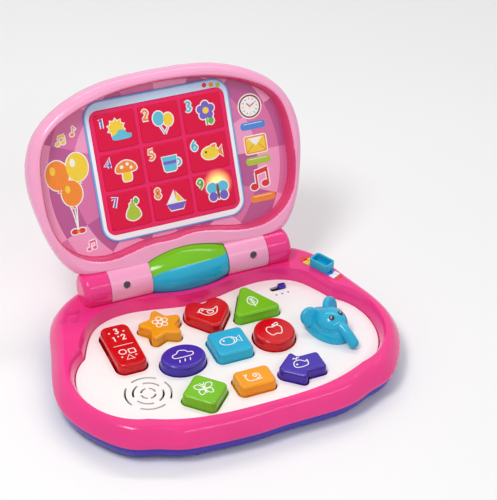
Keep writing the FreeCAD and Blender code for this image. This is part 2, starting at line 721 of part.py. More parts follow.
def base_lower_shell():
    body = loft(base_ring, LOWER_PROFILE)
    shoulder = LOWER_HOLLOW[-1][1]
    body = body.fuse(plate(base_ring(LIP_OUTER, shoulder), LIP_TOP - shoulder))
    body = body.cut(loft(base_ring, LOWER_HOLLOW)).cut(plate(base_ring(LIP_INNER, shoulder), LIP_TOP))
    body = body.fuse(battery_box())
    body = body.cut(box(-BOX_X, BOX_X, *BOX_Y, -CUT, PANEL_SEAT - BOX_ROOF))
    ledge = box(-BOX_X, BOX_X, *BOX_Y, DOOR_TOP, DOOR_LEDGE_TOP)
    inner = BOX_X - DOOR_LEDGE
    ledge = ledge.cut(box(-inner, inner, BOX_Y[0] + DOOR_LEDGE, BOX_Y[1] - DOOR_LEDGE, 0, BATTERY_Z))
    tab_half, tab_reach = DOOR_TAB
    boss = box(-tab_half, tab_half, BOX_Y[0] - tab_reach - CUT, BOX_Y[0], DOOR_TOP, DOOR_BOSS_TOP)
    body = body.fuse(ledge).fuse(boss)
    notch = tab_half + DOOR_GAP
    body = body.cut(box(-notch, notch, BOX_Y[0] - tab_reach - DOOR_GAP, BOX_Y[0], -CUT, DOOR_TOP))
    body = body.cut(upright(0, DOOR_SCREW_Y, 0, DOOR_SCREW_TIP + DOOR_GAP, SCREW_RADIUS))
    for x, y in SHELL_SCREW_SITES:
        body = body.fuse(upright(x, y, FLOOR_WALL / 2, BOSS_SEAT, COUNTERBORE + BOX_WALL))
        body = body.cut(upright(x, y, -CUT, SHELL_SCREW_SEAT, COUNTERBORE))
        body = body.cut(upright(x, y, -CUT, BOSS_SEAT + CUT, SCREW_RADIUS))
        body = body.cut(upright(x, y, BOSS_SEAT, LIP_TOP + CUT, BOSS_RADIUS + DECK_GAP))
    for x, y in BOARD_SITES:
        body = body.fuse(upright(x, y, FLOOR_WALL / 2, BOARD_TOP - BOARD_THICK, BOSS_RADIUS))
        body = body.cut(upright(x, y, FLOOR_WALL, BOARD_TOP, BOARD_SCREW_RADIUS))
    ring = tube(SPEAKER_X, SPEAKER_Y, FLOOR_WALL / 2, SPEAKER_SEAT, *SPEAKER_RING)
    return body.fuse(ring).removeSplitter()


def shell_screws():
    head = SHELL_SCREW_SEAT - SCREW_HEAD_HEIGHT
    return Part.makeCompound([screw(x, y, head, SHELL_SCREW_TIP - CUT) for x, y in SHELL_SCREW_SITES])


def battery_door():
    tab_half, tab_reach = DOOR_TAB
    half = BOX_X - DOOR_GAP
    body = box(-half, half, BOX_Y[0] + DOOR_GAP, BOX_Y[1] - DOOR_GAP, DOOR_RECESS, DOOR_TOP)
    body = body.fuse(box(-tab_half, tab_half, BOX_Y[0] - tab_reach, BOX_Y[0] + CUT, DOOR_RECESS, DOOR_TOP))
    body = body.cut(upright(0, DOOR_SCREW_Y, 0, DOOR_TOP + CUT, SCREW_RADIUS))
    body = body.cut(upright(0, DOOR_SCREW_Y, 0, DOOR_SCREW_SEAT, COUNTERBORE))
    pitch = (BOX_Y[1] - BOX_Y[0]) / (DOOR_GRIPS + 1)
    for row in range(DOOR_GRIPS):
        y = BOX_Y[0] + pitch * (row + 1)
        body = body.cut(box(-BOX_X / 2, BOX_X / 2, y - CUT, y + CUT, 0, DOOR_RECESS + SCREW_SLOT))
    return body.removeSplitter()


def battery_door_screw():
    head_height = DOOR_SCREW_SEAT - DOOR_SCREW_SINK
    return screw(0, DOOR_SCREW_Y, DOOR_SCREW_SEAT - head_height, DOOR_SCREW_TIP, head_height)


def battery(row, side):
    """One AA cell; side says which end its button is on."""
    half = BATTERY_LENGTH / 2
    radius, height = BATTERY_BUTTON
    can = across(*on_side(side, -half, half - height), BATTERY_RADIUS, BATTERY_ROWS[row], BATTERY_Z)
    button = across(*on_side(side, half - height, half), radius, BATTERY_ROWS[row], BATTERY_Z)
    return can.fuse(button).removeSplitter()


def battery_contacts():
    """A plate at each end of each cell, sprung at the flat end and dimpled at the button."""
    pieces = []
    half = BATTERY_LENGTH / 2
    inner = BOX_X - CONTACT_THICK
    for row, side in zip(BATTERY_ROWS, (1, -1)):
        for end in (side, -side):
            low, high = on_side(end, inner, BOX_X)
            blade = box(low, high, row - CONTACT_HALF, row + CONTACT_HALF,
                        BATTERY_Z - CONTACT_HALF, BATTERY_Z + CONTACT_HALF)
            if end == side:
                touch = across(*on_side(end, half, inner), PAD_HEAD_RADIUS / 2, row, BATTERY_Z)
            else:
                foot = Vector(end * inner, row, BATTERY_Z)
                inwards = Vector(-end, 0, 0)
                touch = Part.makeCone(PAD_NECK_RADIUS, PAD_HEAD_RADIUS, inner - half, foot, inwards)
            pieces.append(blade.fuse(touch).removeSplitter())
    return Part.makeCompound(pieces)


def main_circuit_board():
    outline = rounded_polygon(BOARD_CORNERS, BOARD_ROUND, BOARD_TOP - BOARD_THICK)
    board = plate(outline, BOARD_THICK)
    for x, y in BOARD_SITES:
        board = board.cut(upright(x, y, 0, BOARD_TOP + CUT, BOARD_SCREW_RADIUS))
    return board.fuse(box(*CHIP, BOARD_TOP, BOARD_TOP + BOARD_THICK)).removeSplitter()


def board_screws():
    pieces = []
    for x, y in BOARD_SITES:
        head = upright(x, y, BOARD_TOP, BOARD_TOP + BOARD_THICK, 2 * BOARD_SCREW_RADIUS)
        shank = upright(x, y, FLOOR_WALL, BOARD_TOP, BOARD_SCREW_RADIUS)
        pieces.append(head.fuse(shank).removeSplitter())
    return Part.makeCompound(pieces)


def speaker():
    """Round speaker: rim, tapered basket, magnet and a sunk cone with a dust cap."""
    middle = Vector(SPEAKER_X, SPEAKER_Y, 0)
    neck = SPEAKER_SEAT - SPEAKER_BASKET
    cone_foot = SPEAKER_TOP - SPEAKER_CONE
    rim = upright(SPEAKER_X, SPEAKER_Y, SPEAKER_SEAT, SPEAKER_TOP, SPEAKER_RADIUS)
    basket_radius = SPEAKER_RING[1] - HINGE_GAP
    basket = Part.makeCone(SPEAKER_MAGNET, basket_radius, SPEAKER_BASKET, middle + Vector(0, 0, neck))
    magnet = upright(SPEAKER_X, SPEAKER_Y, SPEAKER_FOOT, neck, SPEAKER_MAGNET)
    cone = Part.makeCone(*SPEAKER_CONE_RADII, SPEAKER_CONE, middle + Vector(0, 0, cone_foot))
    cap = Part.makeSphere(SPEAKER_CAP, middle + Vector(0, 0, neck))
    return rim.fuse(basket).fuse(magnet).cut(cone).fuse(cap).removeSplitter()


# Keyboard panel and what stands on it
def ring_sector(radius, start):
    """One curved slot of the speaker grille."""
    height = PANEL_THICK + 2 * CUT
    foot = Vector(0, 0, PANEL_SEAT - CUT)
    outer = Part.makeCylinder(radius + GRILLE_SLOT / 2, height, foot, Vector(0, 0, 1), GRILLE_ARC)
    sector = outer.cut(Part.makeCylinder(radius - GRILLE_SLOT / 2, height, foot, Vector(0, 0, 1)))
    sector.rotate(Vector(0, 0, 0), Vector(0, 0, 1), start)
    sector.translate(Vector(SPEAKER_X, SPEAKER_Y, 0))
    return sector


def panel_slot(width, height, corner, x, y):
    return plate(rectangle(width, height, corner, x, y, PANEL_SEAT - CUT), PANEL_THICK + 2 * CUT)


def keyboard_panel():
    body = plate(panel_ring(-PANEL_FIT, PANEL_SEAT), PANEL_THICK)
    body = body.fuse(tube(SPEAKER_X, SPEAKER_Y, SPEAKER_TOP, PANEL_SEAT + CUT, *SPEAKER_COLLAR))
    for block in rocker_saddles():
        body = body.fuse(block)
    holes = [key_hole(outline, x, y) for name, outline, x, y in KEYS]
    holes.append(key_hole(rocker_outline, ROCKER_X, ROCKER_Y))
    for index, radius in enumerate(GRILLE_RADII):
        for quarter in range(4):
            holes.append(ring_sector(radius, 90.0 * quarter + GRILLE_TWIST * index))
    stem_x, stem_y = MOUSE_STEM
    run = stem_y + 2 * MOUSE_TRAVEL + 2 * STEM_GAP
    holes.append(panel_slot(stem_x + STEM_GAP, run, STEM_GAP, MOUSE_X, MOUSE_Y))
    holes.append(panel_slot(*SWITCH_SLOT, SWITCH_CORNER, SWITCH_X, SWITCH_Y))
    return body.cut(Part.makeCompound(holes)).removeSplitter()


def power_switch_body():
    reach_x, reach_y = SWITCH_TROUGH
    trough = box(SWITCH_X - reach_x, SWITCH_X + reach_x, SWITCH_Y - reach_y, SWITCH_Y + reach_y,
                 SWITCH_FOOT + CUT, RIM_Z)
    return switch_block(0).cut(trough)


def power_switch_knob():
    """Ridged finger grip on a stem, standing at the right of its slot."""
    grip = top_rounded(plate(rectangle(*KNOB_SIZE, KNOB_CORNER), KNOB_HEIGHT), KNOB_HEIGHT, KNOB_ROUND)
    half = KNOB_GROOVE / 2
    for ridge in (-1, 0, 1):
        x = ridge * KNOB_RIDGE
        grip = grip.cut(box(x - half, x + half, -FAR, FAR, KNOB_HEIGHT - KNOB_GROOVE, FAR))
    stem_x, stem_y = KNOB_STEM
    stem = box(-stem_x, stem_x, -stem_y, stem_y, KNOB_STEM_FOOT - KNOB_FOOT, CUT)
    knob = grip.fuse(stem).removeSplitter()
    knob.translate(Vector(SWITCH_X + KNOB_OFFSET, SWITCH_Y, KNOB_FOOT))
    return knob


def ellipsoid(x, y, z, a, b, c):
    ball = Part.makeSphere(1.0)
    stretch = FreeCAD.Matrix()
    stretch.scale(a, b, c)
    ball = ball.transformGeometry(stretch)
    ball.translate(Vector(x, y, z))
    return ball


def elephant_ear(side):
    """Thick rounded disc, tipped back and turned outwards."""
    ear = Part.makeCylinder(EAR_RADIUS, EAR_THICK, Vector(0, 0, -EAR_THICK / 2))
    rims = edges_at(ear, "Z", EAR_THICK / 2) + edges_at(ear, "Z", -EAR_THICK / 2)
    ear = ear.makeFillet(EAR_ROUND, rims)
    ear.rotate(Vector(0, 0, 0), Vector(1, 0, 0), EAR_TIP)
    ear.rotate(Vector(0, 0, 0), Vector(0, 0, 1), side * EAR_TURN)
    out, back, rise = EAR_PLACE
    ear.translate(Vector(MOUSE_X + side * out, MOUSE_Y + back, MOUSE_FOOT + rise))
    return ear


def elephant_trunk():
    start, middle, end = [Vector(MOUSE_X, MOUSE_Y + y, MOUSE_FOOT + rise) for y, rise in TRUNK_PATH]
    arc = Part.Arc(start, middle, end).toShape()
    section = Part.Wire(Part.Circle(start, arc.tangentAt(arc.FirstParameter), TRUNK_RADIUS).toShape())
    return Part.Wire(arc).makePipeShell([section], True, False).fuse(Part.makeSphere(TRUNK_RADIUS, end))


def mouse_shell():
    """Elephant-shaped slider: rounded back, head, two round ears and a trunk."""
    body = ellipsoid(MOUSE_X, MOUSE_Y + MOUSE_BACK_Y, MOUSE_FOOT, *MOUSE_BACK)
    head = ellipsoid(MOUSE_X, MOUSE_Y + MOUSE_HEAD_Y, MOUSE_FOOT + MOUSE_HEAD_RISE, *MOUSE_HEAD)
    body = body.fuse(head)
    for side in (-1, 1):
        body = body.fuse(elephant_ear(side))
    body = body.fuse(elephant_trunk())
    body = body.cut(box(-FAR, FAR, -FAR, FAR, -FAR, MOUSE_FOOT))
    body.rotate(Vector(MOUSE_X, MOUSE_Y, 0), Vector(0, 0, 1), MOUSE_TURN)
    stem_x, stem_y = MOUSE_STEM
    stem = box(MOUSE_X - stem_x / 2, MOUSE_X + stem_x / 2, MOUSE_Y - stem_y / 2, MOUSE_Y + stem_y / 2,
               CARRIAGE_TOP, MOUSE_FOOT + CUT)
    return body.fuse(stem).removeSplitter()


def mouse_carriage():
    """Keeper plate under the panel that the mouse is fixed to, with its contact wiper."""
    foot = CARRIAGE_TOP - CARRIAGE_THICK
    body = plate(rectangle(*CARRIAGE_SIZE, CARRIAGE_CORNER, MOUSE_X, MOUSE_Y, foot), CARRIAGE_THICK)
    reach_x, reach_y, drop = WIPER
    wiper = box(MOUSE_X - reach_x, MOUSE_X + reach_x, MOUSE_Y - reach_y, MOUSE_Y + reach_y,
                foot - drop, foot)
    return body.fuse(wiper).removeSplitter()


# Side slider
def side_track():
    strip = plate(rectangle(TRACK_LENGTH, TRACK_WIDTH, TRACK_CORNER), TRACK_THICK)
    slot = plate(rectangle(*TRACK_SLOT, TRACK_SLOT[1] / 3, 0, 0, TRACK_SLOT_FLOOR), TRACK_THICK)
    return strip.cut(slot).removeSplitter()


def side_slider():
    """Open square sleeve that slides along the strip on a tongue."""
    foot = TRACK_THICK + SLIDER_GAP
    outer = rectangle(SLIDER_LENGTH, SLIDER_WIDTH, SLIDER_CORNER, 0, SLIDER_OFFSET, foot)
    inner = rectangle(SLIDER_LENGTH - 2 * SLIDER_WALL, SLIDER_WIDTH - 2 * SLIDER_WALL,
                      SLIDER_CORNER - SLIDER_WALL, 0, SLIDER_OFFSET, foot + SLIDER_WALL)
    sleeve = plate(outer, SLIDER_HEIGHT).cut(plate(inner, SLIDER_HEIGHT))
    reach_x, reach_y = SLIDER_TONGUE
    tongue = box(-reach_x, reach_x, -reach_y, reach_y, TRACK_SLOT_FLOOR + SLIDER_GAP, foot + CUT)
    return sleeve.fuse(tongue).removeSplitter()


# Lid
def lid_bar(x_low, x_high, radius):
    """Cylinder on the hinge axis, in the flat lid."""
    return across(x_low, x_high, radius, 0, 0)


def hinge_clear(shape):
    """Cut the lid back from the posts and the barrel, which stay on the base."""
    for side in (1, -1):
        shape = shape.cut(lid_bar(*on_side(side, KNUCKLE_END, FAR), HINGE_RADIUS + HINGE_GAP))
    barrel = barrel_solid(BARREL_GAP)
    barrel.translate(Vector(0, -HINGE_Y, -HINGE_Z))
    return shape.cut(barrel)


def lamp_opening(grow, z, height):
    width = 3 * PITCH_X + 2 * grow
    length = 3 * PITCH_Y + 2 * grow
    return plate(rectangle(width, length, GRID_CORNER, 0, WINDOW_MIDDLE, z), height)


def lid_front_frame():
    body = loft(lid_ring, FRAME_PROFILE)
    body = body.fuse(plate(lid_ring(DECK_INSET, LID_DECK), LID_PARTING - LID_DECK))
    body = body.cut(loft(lid_well_ring, LID_WELL_PROFILE))
    for side in (1, -1):
        body = body.fuse(lid_bar(*on_side(side, BARREL_HALF + HINGE_GAP, KNUCKLE_END), HINGE_RADIUS))
    body = hinge_clear(body)
    for side in (1, -1):
        x = side * KNUCKLE_SCREW_X
        bore = on_side(side, PIN_START - HINGE_GAP, KNUCKLE_END + CUT)
        body = body.cut(lid_bar(*bore, PIN_RADIUS + PIN_FIT))
        body = body.cut(upright(x, 0, KNUCKLE_SEAT, HINGE_RADIUS + CUT, KNUCKLE_BORE))
        body = body.cut(upright(x, 0, KNUCKLE_TIP, HINGE_RADIUS, SCREW_RADIUS))
    body = body.cut(lamp_opening(0, LID_DECK - CUT, 2 * CUT + LID_FLOOR - LID_DECK))
    for x, s in LID_SCREW_SITES:
        body = body.fuse(upright(x, s, LID_BOSS_END, LID_FLOOR - CUT, BOSS_RADIUS))
        body = body.cut(upright(x, s, LID_BOSS_END - CUT, LID_SCREW_TIP, SCREW_RADIUS))
    for x, s in LAMP_BOARD_SITES:
        body = body.fuse(upright(x, s, LAMP_FOOT, LID_FLOOR - CUT, LAMP_BOSS_RADIUS))
        body = body.cut(upright(x, s, LAMP_FOOT - CUT, LID_SCREW_TIP, LAMP_SCREW_RADIUS))
    return body.removeSplitter()


def knuckle_screws():
    pieces = []
    for side in (1, -1):
        piece = screw(0, 0, 0, KNUCKLE_SEAT + SCREW_HEAD_HEIGHT - KNUCKLE_TIP)
        piece.rotate(Vector(0, 0, 0), Vector(1, 0, 0), 180)
        piece.translate(Vector(side * KNUCKLE_SCREW_X, 0, KNUCKLE_SEAT + SCREW_HEAD_HEIGHT))
        pieces.append(piece)
    return Part.makeCompound(pieces)


def lid_rear_cover():
    outer = loft(lid_ring, COVER_PROFILE)
    hollow = loft(lid_ring, COVER_HOLLOW).cut(box(-FAR, FAR, -FAR, CHIN_TOP, -FAR, FAR))
    body = outer.cut(hollow)
    for x, s in LID_SCREW_SITES:
        body = body.fuse(upright(x, s, LID_BACK, LID_BOSS_END, COVER_BOSS_RADIUS).common(outer))
        body = body.cut(upright(x, s, LID_BACK - CUT, LID_SCREW_SEAT, COUNTERBORE))
        body = body.cut(upright(x, s, LID_BACK - CUT, LID_BOSS_END + CUT, SCREW_RADIUS))
        body = body.cut(upright(x, s, LID_BOSS_END, 0, BOSS_RADIUS + DECK_GAP))
    body = body.cut(plate(lid_ring(DECK_INSET - DECK_GAP, LID_DECK - DECK_GAP), -LID_DECK))
    for side in (1, -1):
        knuckle = on_side(side, BARREL_HALF, KNUCKLE_END + DECK_GAP)
        body = body.cut(lid_bar(*knuckle, HINGE_RADIUS + DECK_GAP))
    return hinge_clear(body).removeSplitter()


def lid_screws():
    head = LID_SCREW_SEAT - SCREW_HEAD_HEIGHT
    return Part.makeCompound([screw(x, s, head, LID_SCREW_TIP) for x, s in LID_SCREW_SITES])


# Screen
def window_cells(width, height, corner, z, depth):
    """Nine like plates, one for each window."""
    cells = []
    for column in (-1, 0, 1):
        for row in (-1, 0, 1):
            wire = rectangle(width, height, corner, column * PITCH_X, WINDOW_MIDDLE + row * PITCH_Y, z)
            cells.append(plate(wire, depth))
    return cells


def window_wire(grow, z):
    return rectangle(3 * PITCH_X + 2 * grow, 3 * PITCH_Y + 2 * grow, WINDOW_CORNER, 0, WINDOW_MIDDLE, z)


def screen_backdrop():
    sheet = plate(lid_well_ring(-DECK_GAP, LID_FLOOR), SHEET_THICK)
    return sheet.cut(lamp_opening(0, LID_FLOOR - CUT, SHEET_THICK + 2 * CUT)).removeSplitter()


def screen_bezel():
    middle = (BEZEL_LOW + BEZEL_HIGH) / 2
    wire = rectangle(BEZEL_WIDTH, BEZEL_HIGH - BEZEL_LOW, BEZEL_CORNER, 0, middle, SHEET_TOP)
    body = top_rounded(plate(wire, BEZEL_THICK), SHEET_TOP + BEZEL_THICK, BEZEL_ROUND)
    window = plate(window_wire(WINDOW_MARGIN + BEZEL_FIT, SHEET_TOP - CUT), BEZEL_THICK + 2 * CUT)
    return body.cut(window)


def screen_window():
    """Tinted plate with nine raised cushions, one over each picture."""
    body = plate(window_wire(WINDOW_MARGIN, SHEET_TOP), WINDOW_PLATE)
    width = PITCH_X - CUSHION_GAP
    height = PITCH_Y - CUSHION_GAP
    for cell in window_cells(width, height, CUSHION_CORNER, SHEET_TOP, CUSHION_HEIGHT):
        body = body.fuse(top_rounded(cell, SHEET_TOP + CUSHION_HEIGHT, CUSHION_ROUND))
    return body.removeSplitter()


def light_grid():
    """Walls behind the window that keep each lamp's light to its own picture."""
    body = lamp_opening(-DECK_GAP, LAMP_FOOT, GRID_DEPTH)
    width = PITCH_X - GRID_WALL
    height = PITCH_Y - GRID_WALL
    cells = window_cells(width, height, GRID_WALL, LAMP_FOOT - CUT, GRID_DEPTH + 2 * CUT)
    return body.cut(Part.makeCompound(cells)).removeSplitter()


def lamp_board():
    width = 3 * PITCH_X + 2 * LAMP_BOARD_BORDER[0]
    height = 3 * PITCH_Y + 2 * LAMP_BOARD_BORDER[1]
    wire = rectangle(width, height, GRID_CORNER, 0, WINDOW_MIDDLE, LAMP_FOOT - LAMP_BOARD_THICK)
    board = plate(wire, LAMP_BOARD_THICK)
    for x, s in LAMP_BOARD_SITES:
        board = board.cut(upright(x, s, LID_BACK, LAMP_FOOT + CUT, LAMP_SCREW_RADIUS))
    return board


def lamp_board_screws():
    pieces = []
    head = LAMP_FOOT - LAMP_BOARD_THICK
    for x, s in LAMP_BOARD_SITES:
        cap = upright(x, s, head - LAMP_BOARD_THICK, head, 2 * LAMP_SCREW_RADIUS)
        pieces.append(cap.fuse(upright(x, s, head, LID_SCREW_TIP, LAMP_SCREW_RADIUS)).removeSplitter())
    return Part.makeCompound(pieces)


def lamps():
    """Nine small lamps with a stepped lens, one behind each window."""
    pieces = []
    for column in (-1, 0, 1):
        for row in (-1, 0, 1):
            x = column * PITCH_X
            s = WINDOW_MIDDLE + row * PITCH_Y
            shoulder = LAMP_FOOT + LAMP_FLANGE[1]
            flange = upright(x, s, LAMP_FOOT, shoulder, LAMP_FLANGE[0])
            lens = Part.makeCone(*LAMP_LENS, Vector(x, s, shoulder))
            pieces.append(flange.fuse(lens).removeSplitter())
    return Part.makeCompound(pieces)


export("base_upper_shell", base_upper_shell())
export("base_lower_shell", base_lower_shell())
export("keyboard_panel", keyboard_panel())
export("hinge_barrel_upper", seated_barrel(0).cut(below_wave()).removeSplitter())
export("hinge_barrel_lower", seated_barrel(0).common(below_wave()).removeSplitter())
export("hinge_pin_left", hinge_pin(-1))
export("hinge_pin_right", hinge_pin(1))
export("battery_door", battery_door())
export("battery_door_screw", battery_door_screw())
export("battery_front", battery(0, 1))
export("battery_rear", battery(1, -1))
export("battery_contacts", battery_contacts())
export("main_circuit_board", main_circuit_board())
export("board_screws", board_screws())
export("speaker", speaker())
export("shell_screws", shell_screws())
for name, outline, x, y in KEYS:
    export(f"key_{name}", key_cap(outline, x, y))
    export(f"pad_{name}", key_pad(x, y))
export("mode_rocker", mode_rocker())
export("rocker_pads", rocker_pads())
export("power_switch_body", power_switch_body())
export("power_switch_knob", power_switch_knob())
export("mouse_shell", mouse_shell())
export("mouse_carriage", mouse_carriage())
export("side_track", side_track(), TRACK_PLACE)
export("side_slider", side_slider(), TRACK_PLACE)
export("lid_front_frame", lid_front_frame(), LID_PLACE)
export("lid_rear_cover", lid_rear_cover(), LID_PLACE)
export("knuckle_screws", knuckle_screws(), LID_PLACE)
export("lid_screws", lid_screws(), LID_PLACE)
export("screen_backdrop", screen_backdrop(), LID_PLACE)
export("screen_bezel", screen_bezel(), LID_PLACE)
export("screen_window", screen_window(), LID_PLACE)
export("light_grid", light_grid(), LID_PLACE)
export("lamp_board", lamp_board(), LID_PLACE)
export("lamp_board_screws", lamp_board_screws(), LID_PLACE)
export("lamps", lamps(), LID_PLACE)
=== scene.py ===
import json
import math

import bmesh
import bpy
from mathutils import Matrix, Vector
from mathutils.bvhtree import BVHTree


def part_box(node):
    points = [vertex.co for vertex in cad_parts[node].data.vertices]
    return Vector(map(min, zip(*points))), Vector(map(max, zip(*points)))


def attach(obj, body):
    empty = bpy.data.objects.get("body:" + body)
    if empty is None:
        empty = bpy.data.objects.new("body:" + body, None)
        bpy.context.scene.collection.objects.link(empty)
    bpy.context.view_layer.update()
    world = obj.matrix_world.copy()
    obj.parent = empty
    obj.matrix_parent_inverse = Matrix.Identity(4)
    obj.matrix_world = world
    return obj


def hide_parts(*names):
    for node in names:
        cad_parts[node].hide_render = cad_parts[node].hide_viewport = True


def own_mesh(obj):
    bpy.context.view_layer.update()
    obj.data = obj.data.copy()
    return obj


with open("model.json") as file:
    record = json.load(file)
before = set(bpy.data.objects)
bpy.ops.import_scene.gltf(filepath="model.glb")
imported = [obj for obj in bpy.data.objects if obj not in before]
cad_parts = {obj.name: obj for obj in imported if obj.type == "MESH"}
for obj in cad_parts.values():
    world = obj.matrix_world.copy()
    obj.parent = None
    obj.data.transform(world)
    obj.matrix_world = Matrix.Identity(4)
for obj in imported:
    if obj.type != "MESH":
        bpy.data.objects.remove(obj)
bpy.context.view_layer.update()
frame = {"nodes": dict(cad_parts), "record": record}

# Toy laptop computer: looks, printed pictures, small trim, light and camera.
# Artwork is drawn in millimetres on a flat plane and then laid on the lid or the keyboard.

NODES = frame["nodes"]
MM = 0.001

# Lid plane: X along the hinge, Y up the lid from the hinge axis, Z towards the user
HINGE = Vector((0.0, 0.085, 0.041))
LID_TILT = math.radians(26.5)
LID_UP = Vector((0.0, math.sin(LID_TILT), math.cos(LID_TILT)))
LID_OUT = Vector((0.0, -math.cos(LID_TILT), math.sin(LID_TILT)))
SHEET_FACE = -6.6        # faces of the sheet, frame and windows, from the hinge axis along LID_OUT
BEZEL_FACE = -5.2
WINDOW_FACE = -4.6

# Screen
PITCH_X = 39.3           # windows, middle to middle
PITCH_Y = 34.3
WINDOW_MIDDLE = 93.5     # height of the middle window on the lid
DIVIDER_HALF = 1.7       # half width of the paler strip between windows
WEAVE = 3000.0           # grain of the windows, in radians per metre
LIT_PLACE = (43.0, -29.0)    # lamp that shines through, from the middle window
LIT_CORE = 2.0           # its glow fades out between these radii
LIT_REACH = 14.5
BEZEL_HALF = 66.0
BEZEL_LOW = 33.5
BEZEL_HIGH = 155.5
BEZEL_CORNER = 15.0
BEZEL_LINE = 1.5         # width of the blue line round the frame
BEZEL_FADE = (118.0, 150.0)  # the frame turns pale blue between these heights
SHEET_MIDDLE = WINDOW_MIDDLE - 8.0   # the sheet's fields spread out from here
SHEET_FIELDS = 16        # fields in each ring
SHEET_RING = 21.0
DISH_FLOOR = -7.5        # the dish round the screen, along LID_OUT
DISH_BRIM = 7.2
DISH_INWARD = 0.55       # least share of a face's direction that points into the dish

# Keyboard
PANEL_FACE = 19.0
KEY_FACE = 28.0
ROCKER_MIDDLE = (-80.0, 21.9)
ROCKER_FACE = 28.0
ROCKER_HALF = 26.5
ROCKER_VALLEY = 0.9      # its top dips this far towards the middle
BATTERY_HALF = 30.0      # half the length over which the sleeve's band is placed

# Trim on the base
TRACK_RUN = (0.454, -0.891, 0.0)     # direction of the slider's strip
TRACK_MIDDLE = (0.1149, 0.052, 0.0)
TRACK_HALF = 22.0
RIM_NOTES = (-112.0, 66.0)
RIM_NOTES_TURN = math.radians(-21)
RIM_NOTES_SCALE = 1.4
RIM_NOTES_RISE = 3.0     # thickness, as a multiple of the ink's
ELEPHANT_HEAD = Vector((0.0926, -0.0159, 0.0294))
ELEPHANT_TURN = math.radians(18)
EYE_REACH = 0.05         # eyes are dropped onto the head from this far out
EYE_ASIDE = 0.40         # an eye's direction from the middle of the head
EYE_FORWARD = 0.42
EYE_UPWARD = 0.82
EYE_RADIUS = 2.4
EYE_RISE = 0.8
GLINT_RADIUS = 0.6
GLINT_RISE = 0.4
GLINT_OUT = 0.6          # a glint's place on its eye
GLINT_SHIFT = Vector((-0.6, 0.0, 0.6))
RAY_START = 0.2          # rays that look for the rim start this high

# Print
INK_FOOT = -0.02         # ink starts just inside the surface it lies on
INK_RISE = 0.06
LAYER = 0.012            # each shape of a picture lies this much above the last
STICKER_EDGE = 1.0       # white border round a picture
PICTURE_SHIFT = (3.0, -1.0)  # picture and number in a window, from its middle
PICTURE_SCALE = 1.12
NUMBER_PLACE = (-12.2, 8.0)
NUMBER_SCALE = 1.35
NUMBER_LINE = 1.7
NUMBER_BORDER = 0.9
DIGIT_WIDTH = 4.0        # box that each number is drawn in
DIGIT_HEIGHT = 6.0
ICON_LINE = 0.85
ROCKER_LINE = 0.9
DOT = 0.8                # radius of the small dots on the rocker

# Camera, matched to the photo's viewing angle
IMAGE_WIDTH = 497
CAMERA_TURN = math.radians(-21.92)
CAMERA_RISE = math.radians(37.67)
CAMERA_ROLL = math.radians(0.54)
CAMERA_DISTANCE = 1.44
FOCAL_PIXELS = 1661.25
SENSOR = 36.0
AIM_RIGHT = 0.0381       # the view's middle lies right of and above the hinge
AIM_UP = 0.0102

# Light
FLOOR_HALF = 6.0
LIGHT_AIM = (0.0, 0.03, 0.08)
AMBIENT = 0.42           # the white world lights the object at this strength
LAMPS = [                # name, place, width, depth and power
    ("key_light", (-0.55, -0.2, 1.25), 0.4, 0.4, 7.5),
    ("front_strip", (0.42, -0.98, 1.06), 1.4, 0.1, 3.1),
    ("back_strip", (0.36, 0.7, 1.25), 1.6, 0.12, 5.0),
]


def srgb(red, green, blue):
    """Linear colour from screen values of 0 to 255."""
    linear = []
    for value in (red, green, blue):
        part = value / 255
        linear.append(part / 12.92 if part <= 0.04045 else ((part + 0.055) / 1.055) ** 2.4)
    return tuple(linear) + (1.0,)


def shaded(colour, factor):
    return tuple(min(1.0, part * factor) for part in colour[:3]) + (1.0,)


# Materials
COAT_ROUGHNESS = 0.08
PLASTIC_SHINE = 0.38
WINDOW_SHINE = 0.25
SKIN_DEPTH = 0.004       # how far light spreads inside soft plastic


